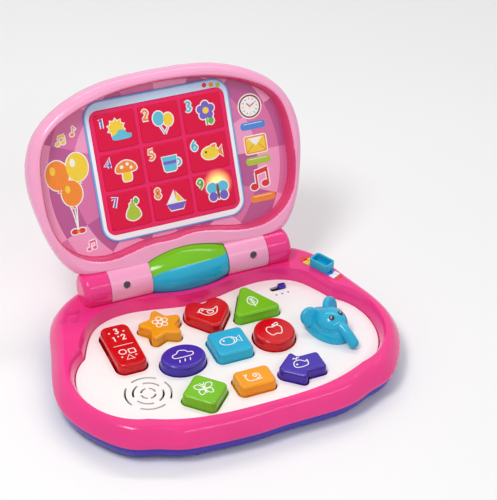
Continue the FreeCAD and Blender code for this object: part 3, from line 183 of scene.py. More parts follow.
class Surface:
    """A material and the nodes that its helpers add to it."""

    def __init__(self, name, roughness, metallic=0.0, coat=0.0):
        self.material = bpy.data.materials.new(name)
        self.material.use_nodes = True
        self.tree = self.material.node_tree
        self.shader = self.tree.nodes["Principled BSDF"]
        self.shader.inputs["Roughness"].default_value = roughness
        self.shader.inputs["Metallic"].default_value = metallic
        self.shader.inputs["Coat Weight"].default_value = coat
        self.shader.inputs["Coat Roughness"].default_value = COAT_ROUGHNESS
        self.place = self.node("ShaderNodeTexCoord").outputs["Object"]

    def node(self, kind, **settings):
        node = self.tree.nodes.new(kind)
        for name, value in settings.items():
            setattr(node, name, value)
        return node

    def feed(self, socket, value):
        """Link a node's output to a socket, or set the socket to a plain value."""
        if isinstance(value, bpy.types.NodeSocket):
            self.tree.links.new(value, socket)
        else:
            socket.default_value = value

    def math(self, operation, first, second=0.0):
        node = self.node("ShaderNodeMath", operation=operation)
        self.feed(node.inputs[0], first)
        self.feed(node.inputs[1], second)
        return node.outputs[0]

    def noise(self, scale, detail=2.0, place=None):
        node = self.node("ShaderNodeTexNoise")
        node.inputs["Scale"].default_value = scale
        node.inputs["Detail"].default_value = detail
        self.feed(node.inputs["Vector"], place or self.place)
        return node.outputs["Fac"]

    def ramp(self, factor, stops, hard=False):
        node = self.node("ShaderNodeValToRGB")
        node.color_ramp.interpolation = "CONSTANT" if hard else "LINEAR"
        elements = node.color_ramp.elements
        while len(elements) < len(stops):
            elements.new(0.5)
        for element, (position, colour) in zip(elements, stops):
            element.position = position
            element.color = colour
        self.feed(node.inputs["Fac"], factor)
        return node.outputs["Color"]

    def mix(self, factor, first, second):
        node = self.node("ShaderNodeMix", data_type="RGBA")
        self.feed(node.inputs["Factor"], factor)
        self.feed(node.inputs["A"], first)
        self.feed(node.inputs["B"], second)
        return node.outputs["Result"]

    def along(self, direction, origin=(0.0, 0.0, 0.0)):
        """Distance along a direction from a point, over the surface."""
        node = self.node("ShaderNodeVectorMath", operation="DOT_PRODUCT")
        self.feed(node.inputs[0], self.place)
        node.inputs[1].default_value = direction
        return self.math("SUBTRACT", node.outputs["Value"], Vector(direction).dot(Vector(origin)))

    def length(self, first, second):
        squares = [self.math("MULTIPLY", part, part) for part in (first, second)]
        return self.math("SQRT", self.math("ADD", *squares))

    def beyond(self, distance, limit):
        """How far a distance lies outside a limit in millimetres, on either side of zero."""
        outside = self.math("SUBTRACT", self.math("ABSOLUTE", distance), limit * MM)
        return self.math("MAXIMUM", outside, 0.0)

    def colour(self, value):
        self.feed(self.shader.inputs["Base Color"], value)

    def clouded(self, dark, light, scale, spread=0.2):
        """Colour that drifts between two tones over the surface."""
        stops = [(0.5 - spread, dark), (0.5 + spread, light)]
        self.colour(self.ramp(self.noise(scale), stops))

    def stretch(self, value, start, end):
        """Value that runs from 0 at one distance to 1 at another, both in millimetres."""
        node = self.node("ShaderNodeMapRange")
        self.feed(node.inputs["Value"], value)
        node.inputs["From Min"].default_value = start * MM
        node.inputs["From Max"].default_value = end * MM
        return node.outputs["Result"]

    def bump(self, height, depth, strength=0.3):
        node = self.node("ShaderNodeBump")
        node.inputs["Strength"].default_value = strength
        node.inputs["Distance"].default_value = depth
        self.feed(node.inputs["Height"], height)
        self.feed(self.shader.inputs["Normal"], node.outputs["Normal"])

    def uneven_gloss(self, scale, low, high):
        spread = self.node("ShaderNodeMapRange")
        self.feed(spread.inputs["Value"], self.noise(scale))
        spread.inputs["To Min"].default_value = low
        spread.inputs["To Max"].default_value = high
        self.feed(self.shader.inputs["Roughness"], spread.outputs["Result"])


def moulded(name, colour, roughness=0.22, shade=0.9, soft=0.0):
    """Moulded plastic: faint cloudiness in its colour, uneven gloss and a fine skin."""
    surface = Surface(name, roughness)
    surface.shader.inputs["Specular IOR Level"].default_value = PLASTIC_SHINE
    surface.clouded(shaded(colour, shade), colour, scale=22.0)
    surface.uneven_gloss(scale=60.0, low=roughness - 0.03, high=roughness + 0.04)
    surface.bump(surface.noise(900.0), depth=0.00012, strength=0.08)
    if soft:
        surface.shader.inputs["Subsurface Weight"].default_value = soft
        surface.shader.inputs["Subsurface Radius"].default_value = (1.0, 0.45, 0.45)
        surface.shader.inputs["Subsurface Scale"].default_value = SKIN_DEPTH
    return surface.material


def ink(name, colour):
    """Printed ink, very slightly uneven, under a thin gloss."""
    surface = Surface(name, roughness=0.3, coat=0.15)
    surface.clouded(shaded(colour, 0.93), colour, scale=700.0, spread=0.15)
    surface.bump(surface.noise(2500.0), depth=0.00004, strength=0.1)
    return surface.material


def metal(name, colour, roughness):
    """Bright metal with fine turning marks."""
    surface = Surface(name, roughness, metallic=1.0)
    surface.clouded(shaded(colour, 0.82), colour, scale=300.0)
    surface.uneven_gloss(scale=800.0, low=roughness - 0.06, high=roughness + 0.12)
    surface.bump(surface.noise(3000.0), depth=0.00003, strength=0.2)
    return surface.material


def matt(name, colour, grain=1200.0):
    """Dull inner plastic, rubber or paper with a fine grain."""
    surface = Surface(name, roughness=0.7)
    surface.clouded(shaded(colour, 0.82), colour, scale=90.0)
    surface.bump(surface.noise(grain), depth=0.0002, strength=0.2)
    return surface.material


def circuit_board(name):
    """Green board with lighter tracks."""
    surface = Surface(name, roughness=0.45)
    wave = surface.node("ShaderNodeTexWave", wave_type="BANDS")
    wave.inputs["Scale"].default_value = 120.0
    wave.inputs["Distortion"].default_value = 9.0
    surface.feed(wave.inputs["Vector"], surface.place)
    stops = [(0.75, srgb(20, 88, 52)), (0.85, srgb(46, 128, 78))]
    surface.colour(surface.ramp(wave.outputs["Fac"], stops))
    surface.bump(wave.outputs["Fac"], depth=0.00005, strength=0.3)
    return surface.material


def battery_wrap(name):
    """Plain battery sleeve with a lighter band at one end."""
    surface = Surface(name, roughness=0.3, metallic=0.2)
    run = surface.stretch(surface.along((1, 0, 0)), -BATTERY_HALF, BATTERY_HALF)
    stops = [(0.0, srgb(58, 62, 70)), (0.72, srgb(196, 150, 70))]
    surface.colour(surface.ramp(run, stops, hard=True))
    surface.bump(surface.noise(500.0), depth=0.00005, strength=0.1)
    return surface.material


def lid_sheet(name):
    """Printed sheet behind the screen: pink fields that spread out from its middle."""
    surface = Surface(name, roughness=0.28, coat=0.3)
    across = surface.along((1, 0, 0))
    up = surface.along(LID_UP, HINGE + LID_UP * SHEET_MIDDLE * MM)
    turn = surface.math("MULTIPLY", surface.math("ARCTAN2", up, across), SHEET_FIELDS / 2 / math.pi)
    reach = surface.length(across, up)
    rings = surface.math("FLOOR", surface.math("DIVIDE", reach, SHEET_RING * MM))
    field = surface.math("ADD", surface.math("FLOOR", turn), rings)
    tones = [(0.0, srgb(244, 158, 200)), (0.3, srgb(220, 112, 168)), (0.6, srgb(186, 82, 146))]
    tone = surface.math("DIVIDE", surface.math("FLOORED_MODULO", field, len(tones)), len(tones))
    surface.colour(surface.ramp(tone, tones, hard=True))
    surface.bump(surface.noise(1500.0), depth=0.00005, strength=0.1)
    return surface.material


def bezel_print(name):
    """White frame whose top turns pale blue, with a blue line round its edge."""
    surface = Surface(name, roughness=0.25)
    up = surface.along(LID_UP, HINGE)
    tones = [(0.0, srgb(248, 250, 252)), (1.0, srgb(196, 222, 248))]
    face = surface.ramp(surface.stretch(up, *BEZEL_FADE), tones)
    middle = (BEZEL_LOW + BEZEL_HIGH) / 2
    above = surface.math("SUBTRACT", up, middle * MM)
    beyond_side = surface.beyond(surface.along((1, 0, 0)), BEZEL_HALF - BEZEL_CORNER)
    beyond_top = surface.beyond(above, BEZEL_HIGH - middle - BEZEL_CORNER)
    reach = surface.length(beyond_side, beyond_top)
    line = surface.math("GREATER_THAN", reach, (BEZEL_CORNER - BEZEL_LINE) * MM)
    surface.colour(surface.mix(line, face, srgb(110, 172, 236)))
    surface.bump(surface.noise(900.0), depth=0.00008, strength=0.08)
    return surface.material


def window_tint(name):
    """Crimson windows with a fine woven grain, paler dividers, and one window lit from behind."""
    surface = Surface(name, roughness=0.2)
    surface.shader.inputs["Specular IOR Level"].default_value = WINDOW_SHINE
    across = surface.along((1, 0, 0))
    up = surface.along(LID_UP, HINGE + LID_UP * WINDOW_MIDDLE * MM)
    threads = [surface.math("SINE", surface.math("MULTIPLY", run, WEAVE)) for run in (across, up)]
    weave = surface.math("MULTIPLY", *threads)
    crimson = surface.ramp(weave, [(0.2, srgb(218, 0, 60)), (0.6, srgb(248, 4, 86))])
    side = surface.math("PINGPONG", surface.math("ADD", across, PITCH_X * MM / 2), PITCH_X * MM / 2)
    level = surface.math("PINGPONG", surface.math("ADD", up, PITCH_Y * MM / 2), PITCH_Y * MM / 2)
    edge = surface.math("MINIMUM", side, level)
    divider = surface.math("LESS_THAN", edge, DIVIDER_HALF * MM)
    colour = surface.mix(divider, crimson, srgb(238, 36, 104))
    lamp_x = surface.math("SUBTRACT", across, LIT_PLACE[0] * MM)
    lamp_y = surface.math("SUBTRACT", up, LIT_PLACE[1] * MM)
    reach = surface.length(lamp_x, lamp_y)
    glow = surface.node("ShaderNodeMapRange", interpolation_type="SMOOTHSTEP")
    surface.feed(glow.inputs["Value"], reach)
    glow.inputs["From Min"].default_value = LIT_CORE * MM
    glow.inputs["From Max"].default_value = LIT_REACH * MM
    glow.inputs["To Min"].default_value = 1.0
    glow.inputs["To Max"].default_value = 0.0
    lit = glow.outputs["Result"]
    surface.colour(surface.mix(lit, colour, srgb(255, 226, 150)))
    surface.feed(surface.shader.inputs["Emission Strength"], lit)
    surface.shader.inputs["Emission Color"].default_value = srgb(255, 196, 96)
    surface.bump(weave, depth=0.0001, strength=0.25)
    return surface.material


def striped_strip(name):
    """Printed bands along the slider's strip."""
    surface = Surface(name, roughness=0.3, coat=0.3)
    run = surface.stretch(surface.along(TRACK_RUN, TRACK_MIDDLE), -TRACK_HALF, TRACK_HALF)
    stops = [(0.0, srgb(226, 36, 48)), (0.12, srgb(250, 206, 40)), (0.24, srgb(120, 196, 60)),
             (0.36, srgb(240, 244, 250)), (0.68, srgb(70, 130, 220)), (0.78, srgb(240, 244, 250)),
             (0.9, srgb(226, 36, 48))]
    surface.colour(surface.ramp(run, stops, hard=True))
    surface.bump(surface.noise(900.0), depth=0.00005, strength=0.1)
    return surface.material


def clear_lens(name):
    """Clear plastic of the lamps, slightly cloudy."""
    surface = Surface(name, roughness=0.1)
    surface.shader.inputs["Transmission Weight"].default_value = 0.7
    surface.clouded(srgb(236, 230, 214), srgb(250, 248, 240), scale=400.0)
    surface.bump(surface.noise(2000.0), depth=0.00003, strength=0.1)
    return surface.material


PINK = srgb(248, 54, 142)
CYAN = srgb(30, 182, 222)
GREEN = srgb(118, 198, 4)
RED = srgb(214, 0, 12)
ORANGE = srgb(250, 164, 0)
PURPLE = srgb(66, 42, 174)

LOOKS = {
    "lid_pink": moulded("lid_pink", srgb(252, 170, 208), 0.16, shade=0.94, soft=0.12),
    "base_pink": moulded("base_pink", PINK, 0.14),
    "base_purple": moulded("base_purple", srgb(46, 16, 168), 0.2),
    "panel_white": moulded("panel_white", srgb(250, 248, 246), 0.3, shade=0.97),
    "key_red": moulded("key_red", RED, 0.12),
    "key_orange": moulded("key_orange", ORANGE, 0.14),
    "key_green": moulded("key_green", GREEN, 0.14),
    "key_cyan": moulded("key_cyan", CYAN, 0.14),
    "key_purple": moulded("key_purple", PURPLE, 0.14),
    "track_print": striped_strip("track_print"),
    "backdrop_print": lid_sheet("backdrop_print"),
    "bezel_white": bezel_print("bezel_white"),
    "window_red": window_tint("window_red"),
    "grid_white": matt("grid_white", srgb(238, 238, 234)),
    # steel is darker than bare steel: painted shade for the screws deep in their holes
    "steel": metal("steel", srgb(88, 86, 92), 0.26),
    "silicone": matt("silicone", srgb(196, 196, 192)),
    "board_green": circuit_board("board_green"),
    "battery_can": battery_wrap("battery_can"),
    "speaker_black": matt("speaker_black", srgb(38, 38, 40), 500.0),
    "dark_plastic": matt("dark_plastic", srgb(58, 54, 64)),
    "lamp_clear": clear_lens("lamp_clear"),
}
INKS = {
    "white": ink("ink_white", srgb(252, 250, 248)),
    "yellow": ink("ink_yellow", srgb(250, 214, 48)),
    "orange": ink("ink_orange", srgb(248, 140, 30)),
    "red": ink("ink_red", srgb(222, 30, 44)),
    "green": ink("ink_green", srgb(96, 184, 44)),
    "lime": ink("ink_lime", srgb(176, 202, 46)),
    "cyan": ink("ink_cyan", srgb(90, 196, 224)),
    "blue": ink("ink_blue", srgb(70, 140, 222)),
    "purple": ink("ink_purple", srgb(116, 92, 200)),
    "pink": ink("ink_pink", srgb(246, 84, 150)),
    # deeper pink for the raised notes on the rim: painted shade
    "deep_pink": ink("ink_notes_shade", srgb(224, 40, 124)),
    "brown": ink("ink_brown", srgb(128, 62, 40)),
    "black": ink("ink_black", srgb(26, 22, 26)),
}

for subpart in frame["record"]["subparts"]:
    node = NODES[subpart["node"]]
    node.data.materials.clear()
    node.data.materials.append(LOOKS[subpart["material_slot"]])

# The wall round the lid's dish is painted a deeper pink than its rim: painted shade on that wall
frame_mesh = NODES["lid_front_frame"].data
frame_mesh.materials.append(moulded("lid_dish_painted_shade", srgb(232, 70, 124), 0.24, shade=0.94))
dish_middle = HINGE + LID_UP * WINDOW_MIDDLE * MM
for polygon in frame_mesh.polygons:
    outward = polygon.center - dish_middle
    height = outward.dot(LID_OUT)
    spread = outward - LID_OUT * height
    inward = -polygon.normal.dot(spread.normalized())
    if inward > DISH_INWARD and DISH_FLOOR < height / MM < DISH_BRIM:
        polygon.material_index = 1


# Flat drawing, in millimetres
def arc(x, y, radius, start=0.0, end=360.0, radius_y=None, count=24):
    """Points along a circle or ellipse; a whole one doesn't repeat its first point."""
    tall = radius_y or radius
    whole = abs(end - start) >= 360
    steps = count if whole else count - 1
    points = []
    for step in range(count):
        angle = math.radians(start + (end - start) * step / steps)
        points.append((x + radius * math.cos(angle), y + tall * math.sin(angle)))
    return points


def between(a, b, c, d, t):
    """Value on the soft curve from b to c, which also heeds their neighbours a and d."""
    squared = (2 * a - 5 * b + 4 * c - d) * t * t
    cubed = (3 * b - a - 3 * c + d) * t ** 3
    return 0.5 * (2 * b + (c - a) * t + squared + cubed)


def smooth(points, closed=True, steps=5):
    """Soft curve through a few points."""
    count = len(points)
    spans = count if closed else count - 1
    curve = []
    for index in range(spans):
        places = [index + shift for shift in (-1, 0, 1, 2)]
        if closed:
            near = [points[place % count] for place in places]
        else:
            near = [points[max(0, min(count - 1, place))] for place in places]
        across, up = zip(*near)
        for step in range(steps):
            curve.append((between(*across, step / steps), between(*up, step / steps)))
    if not closed:
        curve.append(points[-1])
    return curve


def stroke(*points):
    """Soft open curve through a few points."""
    return smooth(points, closed=False)


def burst(x, y, outer, inner, tips, start=90.0):
    """Star or sun outline."""
    points = []
    for tip in range(tips):
        for radius, turn in ((outer, 0.0), (inner, 0.5)):
            angle = math.radians(start + 360 * (tip + turn) / tips)
            points.append((x + radius * math.cos(angle), y + radius * math.sin(angle)))
    return points


def rounded_box(half_x, half_y, corner, x=0.0, y=0.0):
    points = []
    for sign_x, sign_y, start in ((1, -1, 270), (1, 1, 0), (-1, 1, 90), (-1, -1, 180)):
        middle_x = x + sign_x * (half_x - corner)
        middle_y = y + sign_y * (half_y - corner)
        points += arc(middle_x, middle_y, corner, start, start + 90, count=7)
    return points


def moved(points, x, y, scale=1.0):
    return [(x + px * scale, y + py * scale) for px, py in points]


def side_steps(path, closed):
    """Unit direction to the left of a path at each of its points."""
    count = len(path)
    normals = []
    for index in range(count):
        ahead = path[(index + 1) % count] if closed or index < count - 1 else path[index]
        behind = path[index - 1] if closed or index else path[index]
        run = (ahead[0] - behind[0], ahead[1] - behind[1])
        length = math.hypot(*run) or 1.0
        normals.append((-run[1] / length, run[0] / length))
    return normals


def widened(outline, distance):
    """Anticlockwise outline moved outwards."""
    normals = side_steps(outline, True)
    return [(x - nx * distance, y - ny * distance) for (x, y), (nx, ny) in zip(outline, normals)]


def add_piece(name, data, body):
    """Make a piece from a mesh in the frame's own coordinates and let it ride on a body."""
    piece = bpy.data.objects.new(name, data)
    bpy.context.scene.collection.objects.link(piece)
    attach(piece, body)
    return piece


class Artwork:
    """Flat shapes that lie on one another and become a single thin piece."""

    def __init__(self):
        self.mesh = bmesh.new()
        self.inks = []
        self.layers = 0

    def level(self):
        """Height of the next shape's face."""
        self.layers += 1
        return INK_RISE + LAYER * self.layers

    def number(self, colour):
        if colour not in self.inks:
            self.inks.append(colour)
        return self.inks.index(colour)

    def add_face(self, corners, colour):
        face = self.mesh.faces.new(corners)
        face.material_index = self.number(colour)

    def fill(self, outline, colour):
        roof_z = self.level()
        floor = [self.mesh.verts.new((x, y, INK_FOOT)) for x, y in outline]
        roof = [self.mesh.verts.new((x, y, roof_z)) for x, y in outline]
        self.add_face(roof, colour)
        self.add_face(floor[::-1], colour)
        for index in range(len(outline)):
            after = (index + 1) % len(outline)
            self.add_face((floor[index], floor[after], roof[after], roof[index]), colour)

    def line(self, path, width, colour, closed=False):
        roof_z = self.level()
        rails = []
        normals = side_steps(path, closed)
        for (x, y), (nx, ny) in zip(path, normals):
            left = (x + nx * width / 2, y + ny * width / 2)
            right = (x - nx * width / 2, y - ny * width / 2)
            corners = [(*point, z) for point in (left, right) for z in (roof_z, INK_FOOT)]
            rails.append([self.mesh.verts.new(corner) for corner in corners])
        pairs = list(zip(rails, rails[1:]))
        if closed:
            pairs.append((rails[-1], rails[0]))
        for (la, lb, ra, rb), (lc, ld, rc, rd) in pairs:
            self.add_face((la, ra, rc, lc), colour)
            self.add_face((lb, ld, rd, rb), colour)
            self.add_face((la, lc, ld, lb), colour)
            self.add_face((ra, rb, rd, rc), colour)
        if not closed:
            for (la, lb, ra, rb), flip in ((rails[0], False), (rails[-1], True)):
                corners = (la, lb, rb, ra)
                self.add_face(corners[::-1] if flip else corners, colour)

    def sticker(self, shapes):
        """Coloured shapes on a white border."""
        for outline, colour in shapes:
            self.fill(widened(outline, STICKER_EDGE), "white")
        for outline, colour in shapes:
            self.fill(outline, colour)

    def finish(self, name, matrix, body, lay=None):
        """Make the piece, put it in place and let it ride on its body."""
        bmesh.ops.recalc_face_normals(self.mesh, faces=self.mesh.faces)
        data = bpy.data.meshes.new(name)
        self.mesh.to_mesh(data)
        self.mesh.free()
        for colour in self.inks:
            data.materials.append(INKS.get(colour) or LOOKS[colour])
        data.transform(matrix)
        if lay:
            for vertex in data.vertices:
                vertex.co = lay(vertex.co)
        return add_piece(name, data, body)


def on_lid(x, up, height):
    """Drawing plane at a place on the lid."""
    turn = Matrix((Vector((1, 0, 0)), LID_UP, LID_OUT)).transposed().to_4x4()
    place = HINGE + (Vector((x, 0, 0)) + LID_UP * up + LID_OUT * height) * MM
    return Matrix.Translation(place) @ turn @ Matrix.Scale(MM, 4)


def on_base(x, y, height):
    return Matrix.Translation(Vector((x, y, height)) * MM) @ Matrix.Scale(MM, 4)


# Numbers, each in the box of DIGIT_WIDTH and DIGIT_HEIGHT
DIGITS = {
    "1": [(0.9, 4.7), (2.2, 6), (2.2, 0)],
    "2": stroke((0.3, 4.5), (1.9, 6), (3.5, 4.4), (2.2, 2.2), (0.3, 0)) + [(3.8, 0)],
    "3": stroke((0.4, 5.2), (2.0, 6), (3.4, 4.6), (1.8, 3.2), (3.6, 1.6), (2.0, 0), (0.3, 0.9)),
    "4": [(2.9, 0), (2.9, 6), (0.2, 1.8), (3.9, 1.8)],
    "5": [(3.5, 6), (0.9, 6), (0.6, 3.4)] + stroke((1.9, 3.8), (3.6, 2.0), (2.0, 0), (0.3, 0.7)),
    "6": stroke((3.0, 6), (1.0, 4.2), (0.4, 1.8), (2.0, 0), (3.6, 1.8), (2.0, 3.5), (0.7, 2.2)),
    "7": [(0.3, 6), (3.8, 6), (1.6, 0)],
    "8": smooth([(2.0, 3.2), (0.7, 4.6), (2.0, 6), (3.3, 4.6),
                 (2.0, 3.2), (3.6, 1.6), (2.0, 0), (0.4, 1.6)]),
    "9": stroke((3.4, 4.0), (2.0, 2.6), (0.4, 4.2), (2.0, 6), (3.5, 4.4), (3.0, 1.8), (1.4, 0)),
}
CLOSED_DIGITS = ["8"]


def draw_digit(art, digit, x, y, scale, width, colour, border=None):
    """Number round a place, on a white border where one is given."""
    placed = moved(DIGITS[digit], x - DIGIT_WIDTH / 2 * scale, y - DIGIT_HEIGHT / 2 * scale, scale)
    closed = digit in CLOSED_DIGITS
    if border:
        art.line(placed, width + 2 * border, "white", closed)
    art.line(placed, width, colour, closed)


# Pictures for the nine windows, each round its own middle
CLOUD = smooth([(-7, -3), (-7.5, 0), (-4, 1.5), (-1.5, 4), (3, 3), (4.5, 0.8), (7.5, 0), (7, -3),
                (0, -3.6)])
LEAF = smooth([(0, -4), (3.2, -1), (2.6, 2.5), (0, 5), (-2.6, 2.5), (-3.2, -1)])


def sun_and_cloud():
    return [(burst(-2.5, 3, 7, 5, 10), "yellow"), (moved(CLOUD, 1, -3), "cyan")]


def balloons():
    knot = [(0.4, -9), (-0.2, -9)]
    strings = [[(-3.4, -2), (-3.0, -2)] + knot, [(3.6, -3), (4.0, -3)] + knot]
    ovals = [(arc(-3.4, 3.5, 4.4, radius_y=5.4), "cyan"), (arc(4, 1.5, 4, radius_y=5), "yellow")]
    return [(outline[::-1], "purple") for outline in strings] + ovals


def flower():
    petals = []
    for petal in range(5):
        turn = math.radians(90 + 72 * petal)
        petals.append((arc(4.3 * math.cos(turn), 2.5 + 4.3 * math.sin(turn), 3.0), "purple"))
    stem = [([(-0.6, -9), (0.6, -9), (0.6, 0), (-0.6, 0)], "green"), (moved(LEAF, 3.2, -6, 0.7), "green")]
    return stem + petals + [(arc(0, 2.5, 2.6), "yellow")]


def mushroom():
    cap = smooth([(-8, 0), (-6.5, 5), (0, 7.8), (6.5, 5), (8, 0), (0, -1.2)][::-1])
    spots = [(arc(-3.4, 3.4, 1.4), "white"), (arc(1.4, 5, 1.3), "white"), (arc(4, 2, 1.2), "white")]
    foot = smooth([(-2.6, -0.5), (-3.2, -7), (0, -8), (3.2, -7), (2.6, -0.5)])
    return [(foot, "yellow"), (cap, "orange")] + spots


def cup():
    bowl = [(-6, 4), (-4.8, -6.5), (-3.6, -7.5), (3.6, -7.5), (4.8, -6.5), (6, 4)]
    band = [(-5.6, 0.5), (-5.3, -2), (5.3, -2), (5.6, 0.5)]
    handle = arc(6, -1.5, 3.2, -90, 90) + arc(6, -1.5, 1.6, 90, -90)
    return [(handle, "cyan"), (bowl, "cyan"), (band, "purple")]


def fish():
    tail = [(4, 0), (9, -4.5), (8, 0), (9, 4.5)]
    fin = smooth([(-1, 3.5), (2.5, 3.2), (3.6, 6), (0, 5.6)])
    body = arc(-1.5, 0, 7, radius_y=4.8)
    return [(tail, "orange"), (fin, "orange"), (body, "yellow"), (arc(-5, 1.2, 0.9), "black")]


def pear():
    body = smooth([(0, -8), (5.4, -5.4), (4.8, -0.8), (2.4, 2.6), (1.8, 5.2), (-1.8, 5.2), (-2.4, 2.6),
                   (-4.8, -0.8), (-5.4, -5.4)])
    stem = [(-0.5, 5), (0.5, 5), (1.2, 8), (0.2, 8)]
    return [(stem, "brown"), (body, "lime"), (moved(LEAF, 3.4, 6.4, 0.55), "green")]


def boat():
    hull = [(-8, -2), (-5, -7), (5, -7), (8, -2)]
    sails = [([(-0.6, -1), (-0.6, 8), (-6.5, -1)], "white"), ([(0.6, -1), (6, -1), (0.6, 6.5)], "yellow")]
    return [(hull, "purple")] + sails


def butterfly():
    wings = [(arc(side * 4.4, y, reach, radius_y=tall), colour) for side in (-1, 1)
             for y, reach, tall, colour in ((3.2, 4.4, 4.2, "cyan"), (-3.6, 3.4, 3.6, "purple"))]
    return wings + [(arc(0, 0, 1.1, radius_y=6.4), "brown")]


PICTURES = [             # each with the colour of its number
    (sun_and_cloud, "purple"), (balloons, "orange"), (flower, "cyan"),
    (mushroom, "purple"), (cup, "orange"), (fish, "cyan"),
    (pear, "purple"), (boat, "orange"), (butterfly, "green"),
]
for place, (picture, number_colour) in enumerate(PICTURES):
    across = (place % 3 - 1) * PITCH_X
    up = WINDOW_MIDDLE + (1 - place // 3) * PITCH_Y
    number = str(place + 1)
    art = Artwork()
    art.sticker([(moved(outline, *PICTURE_SHIFT, PICTURE_SCALE), colour) for outline, colour in picture()])
    draw_digit(art, number, *NUMBER_PLACE, NUMBER_SCALE, NUMBER_LINE, number_colour, border=NUMBER_BORDER)
    art.finish("picture_" + number, on_lid(across, up, WINDOW_FACE), "lid")

# Three dots at the top of the screen frame
art = Artwork()
for x, up, colour in ((44.7, 151.0, "red"), (51.0, 150.2, "orange"), (57.0, 148.8, "lime")):
    art.fill(arc(x, up, 2.1), colour)
art.finish("screen_frame_print", on_lid(0, 0, BEZEL_FACE), "lid")


# Pictures on the printed sheet
NOTE_PAIR = [arc(-3.4, -4, 2.4, radius_y=1.9), arc(3.4, -3, 2.4, radius_y=1.9),
             [(-2.2, -4), (-1.1, -4), (-1.1, 4), (-2.2, 4)], [(4.6, -3), (5.7, -3), (5.7, 5.4), (4.6, 5.4)],
             [(-2.2, 2.4), (5.7, 3.8), (5.7, 6.4), (-2.2, 5)]]


def note_pair(art, colour, scale):
    """Two joined music notes."""
    art.sticker([(moved(outline, 0, 0, scale), colour) for outline in NOTE_PAIR])


def single_note(art, colour, scale):
    head = arc(-1, -4, 2.3, radius_y=1.8)
    stem = [(0.2, -4), (1.2, -4), (1.2, 5), (0.2, 5)]
    flag = smooth([(0.8, 5), (1.4, 5.2), (4, 2), (3.2, 1.6)])[::-1]
    art.sticker([(moved(outline, 0, 0, scale), colour) for outline in (head, stem, flag)])


def clock_face(art):
    art.sticker([(arc(0, 0, 10.2, count=40), "brown"), (arc(0, 0, 8.8, count=40), "white")])
    for hour in range(12):
        angle = math.radians(30 * hour)
        mark = [(radius * math.cos(angle), radius * math.sin(angle)) for radius in (5.9, 7.2)]
        art.line(mark, 0.8, "orange" if hour % 3 == 0 else "blue")
    art.line([(0, 0), (-2.6, 3.0)], 0.9, "brown")
    art.line([(0, 0), (4.4, 2.4)], 0.8, "brown")
    art.fill(arc(0, 0, 0.9), "orange")


def envelope(art):
    art.sticker([(rounded_box(9.8, 7.5, 1.6), "orange")])
    art.fill(rounded_box(8.7, 6.4, 1.1), "yellow")
    art.fill([(-7.1, 6.2), (0, -0.9), (7.1, 6.2)], "white")
    art.line([(-8.7, -6.0), (-2.5, 0.2)], 0.8, "orange")
    art.line([(8.7, -6.0), (2.5, 0.2)], 0.8, "orange")


def balloon_bunch(art):
    """Three large balloons on strings."""
    ovals = [(-8, 16, 10, 12.5, "orange"), (10, 20, 9.5, 12, "yellow"), (2, -1, 9, 11, "orange")]
    knot_x, knot_y = (2.0, -34.0)
    shapes = []
    for x, y, wide, tall, colour in ovals:
        foot = y - tall
        shapes.append((arc(x, y, wide, radius_y=tall, count=32), colour))
        shapes.append(([(x - 1.6, foot - 2), (x + 1.6, foot - 2), (x, foot + 0.6)], colour))
        string = stroke((x, foot - 1.5), (x * 0.3 + 1.6, foot * 0.5 - 16), (knot_x, knot_y))
        art.line(string, 1.0, "white")
    art.sticker(shapes)
    for x, y, wide, tall, colour in ovals:
        shine = arc(x - wide * 0.35, y + tall * 0.35, wide * 0.24, radius_y=tall * 0.3)
        art.fill(shine, "white" if colour == "yellow" else "yellow")
    loops = [(arc(knot_x + side * 3, knot_y, 3.2, radius_y=2.2), "red") for side in (-1, 1)]
    art.sticker(loops + [(arc(knot_x, knot_y, 1.5), "orange")])


def pill(colour):
    """Plain rounded label with a line of shine."""
    def draw(art):
        art.fill(rounded_box(11.6, 3.4, 2.9), colour)
        art.line([(-8.6, 1.8), (8.6, 1.8)], 0.5, "white")
    return draw


def notes(shape, colour, scale):
    """Music notes in a colour and size."""
    return lambda art: shape(art, colour, scale)


SHEET_PICTURES = [       # name, drawing and place on the lid
    ("clock_picture", clock_face, 83.7, 125.1),
    ("clock_label", pill("blue"), 84.0, 108.2),
    ("letter_picture", envelope, 84.1, 91.3),
    ("letter_label", pill("lime"), 84.3, 77.0),
    ("music_picture", notes(note_pair, "red", 1.55), 82.5, 60.5),
    ("music_label", pill("orange"), 83.6, 43.8),
    ("note_picture_yellow", notes(note_pair, "yellow", 0.72), -88.4, 128.6),
    ("note_picture_orange", notes(single_note, "orange", 0.72), -76.6, 134.4),
    ("note_picture_pink", notes(note_pair, "pink", 0.72), -77.0, 35.5),
    ("balloon_picture", balloon_bunch, -88.0, 84.0),
]
for name, draw, x, up in SHEET_PICTURES:
    art = Artwork()
    draw(art)
    art.finish(name, on_lid(x, up, SHEET_FACE), "lid")


# White line pictures on the keys
def icon_fish(pen):
    pen(arc(-1.5, 0, 7, radius_y=4.6), True)
    pen([(5.2, 0.8), (9, 4), (9, -4), (5.2, -0.8)])
    pen(arc(0, 0, 3.4, -60, 60, count=9))
    pen(arc(-5, 1.2, 0.5), True)


def icon_snail(pen):
    pen(stroke((1.2, 1.6), (2.4, 0.4), (1, -0.8), (-1, 0.8), (0.6, 3.2), (4, 2.2), (4.4, -2), (0.6, -3.6)))
    pen(stroke((6, -4.2), (0, -4.6), (-6, -4.2), (-8, 0), (-7.2, 2.2)))
    pen([(-7.2, 2.2), (-8.6, 4.6)])
    pen([(-7.2, 2.2), (-5.8, 4.6)])


def icon_leaf(pen):
    pen(moved(LEAF, 0, 0, 1.5), True)
    pen([(0, -8.4), (0, 5.4)])
    for y in (-3, 0, 3):
        pen([(-2.4, y + 1.6), (0, y), (2.4, y + 1.6)])


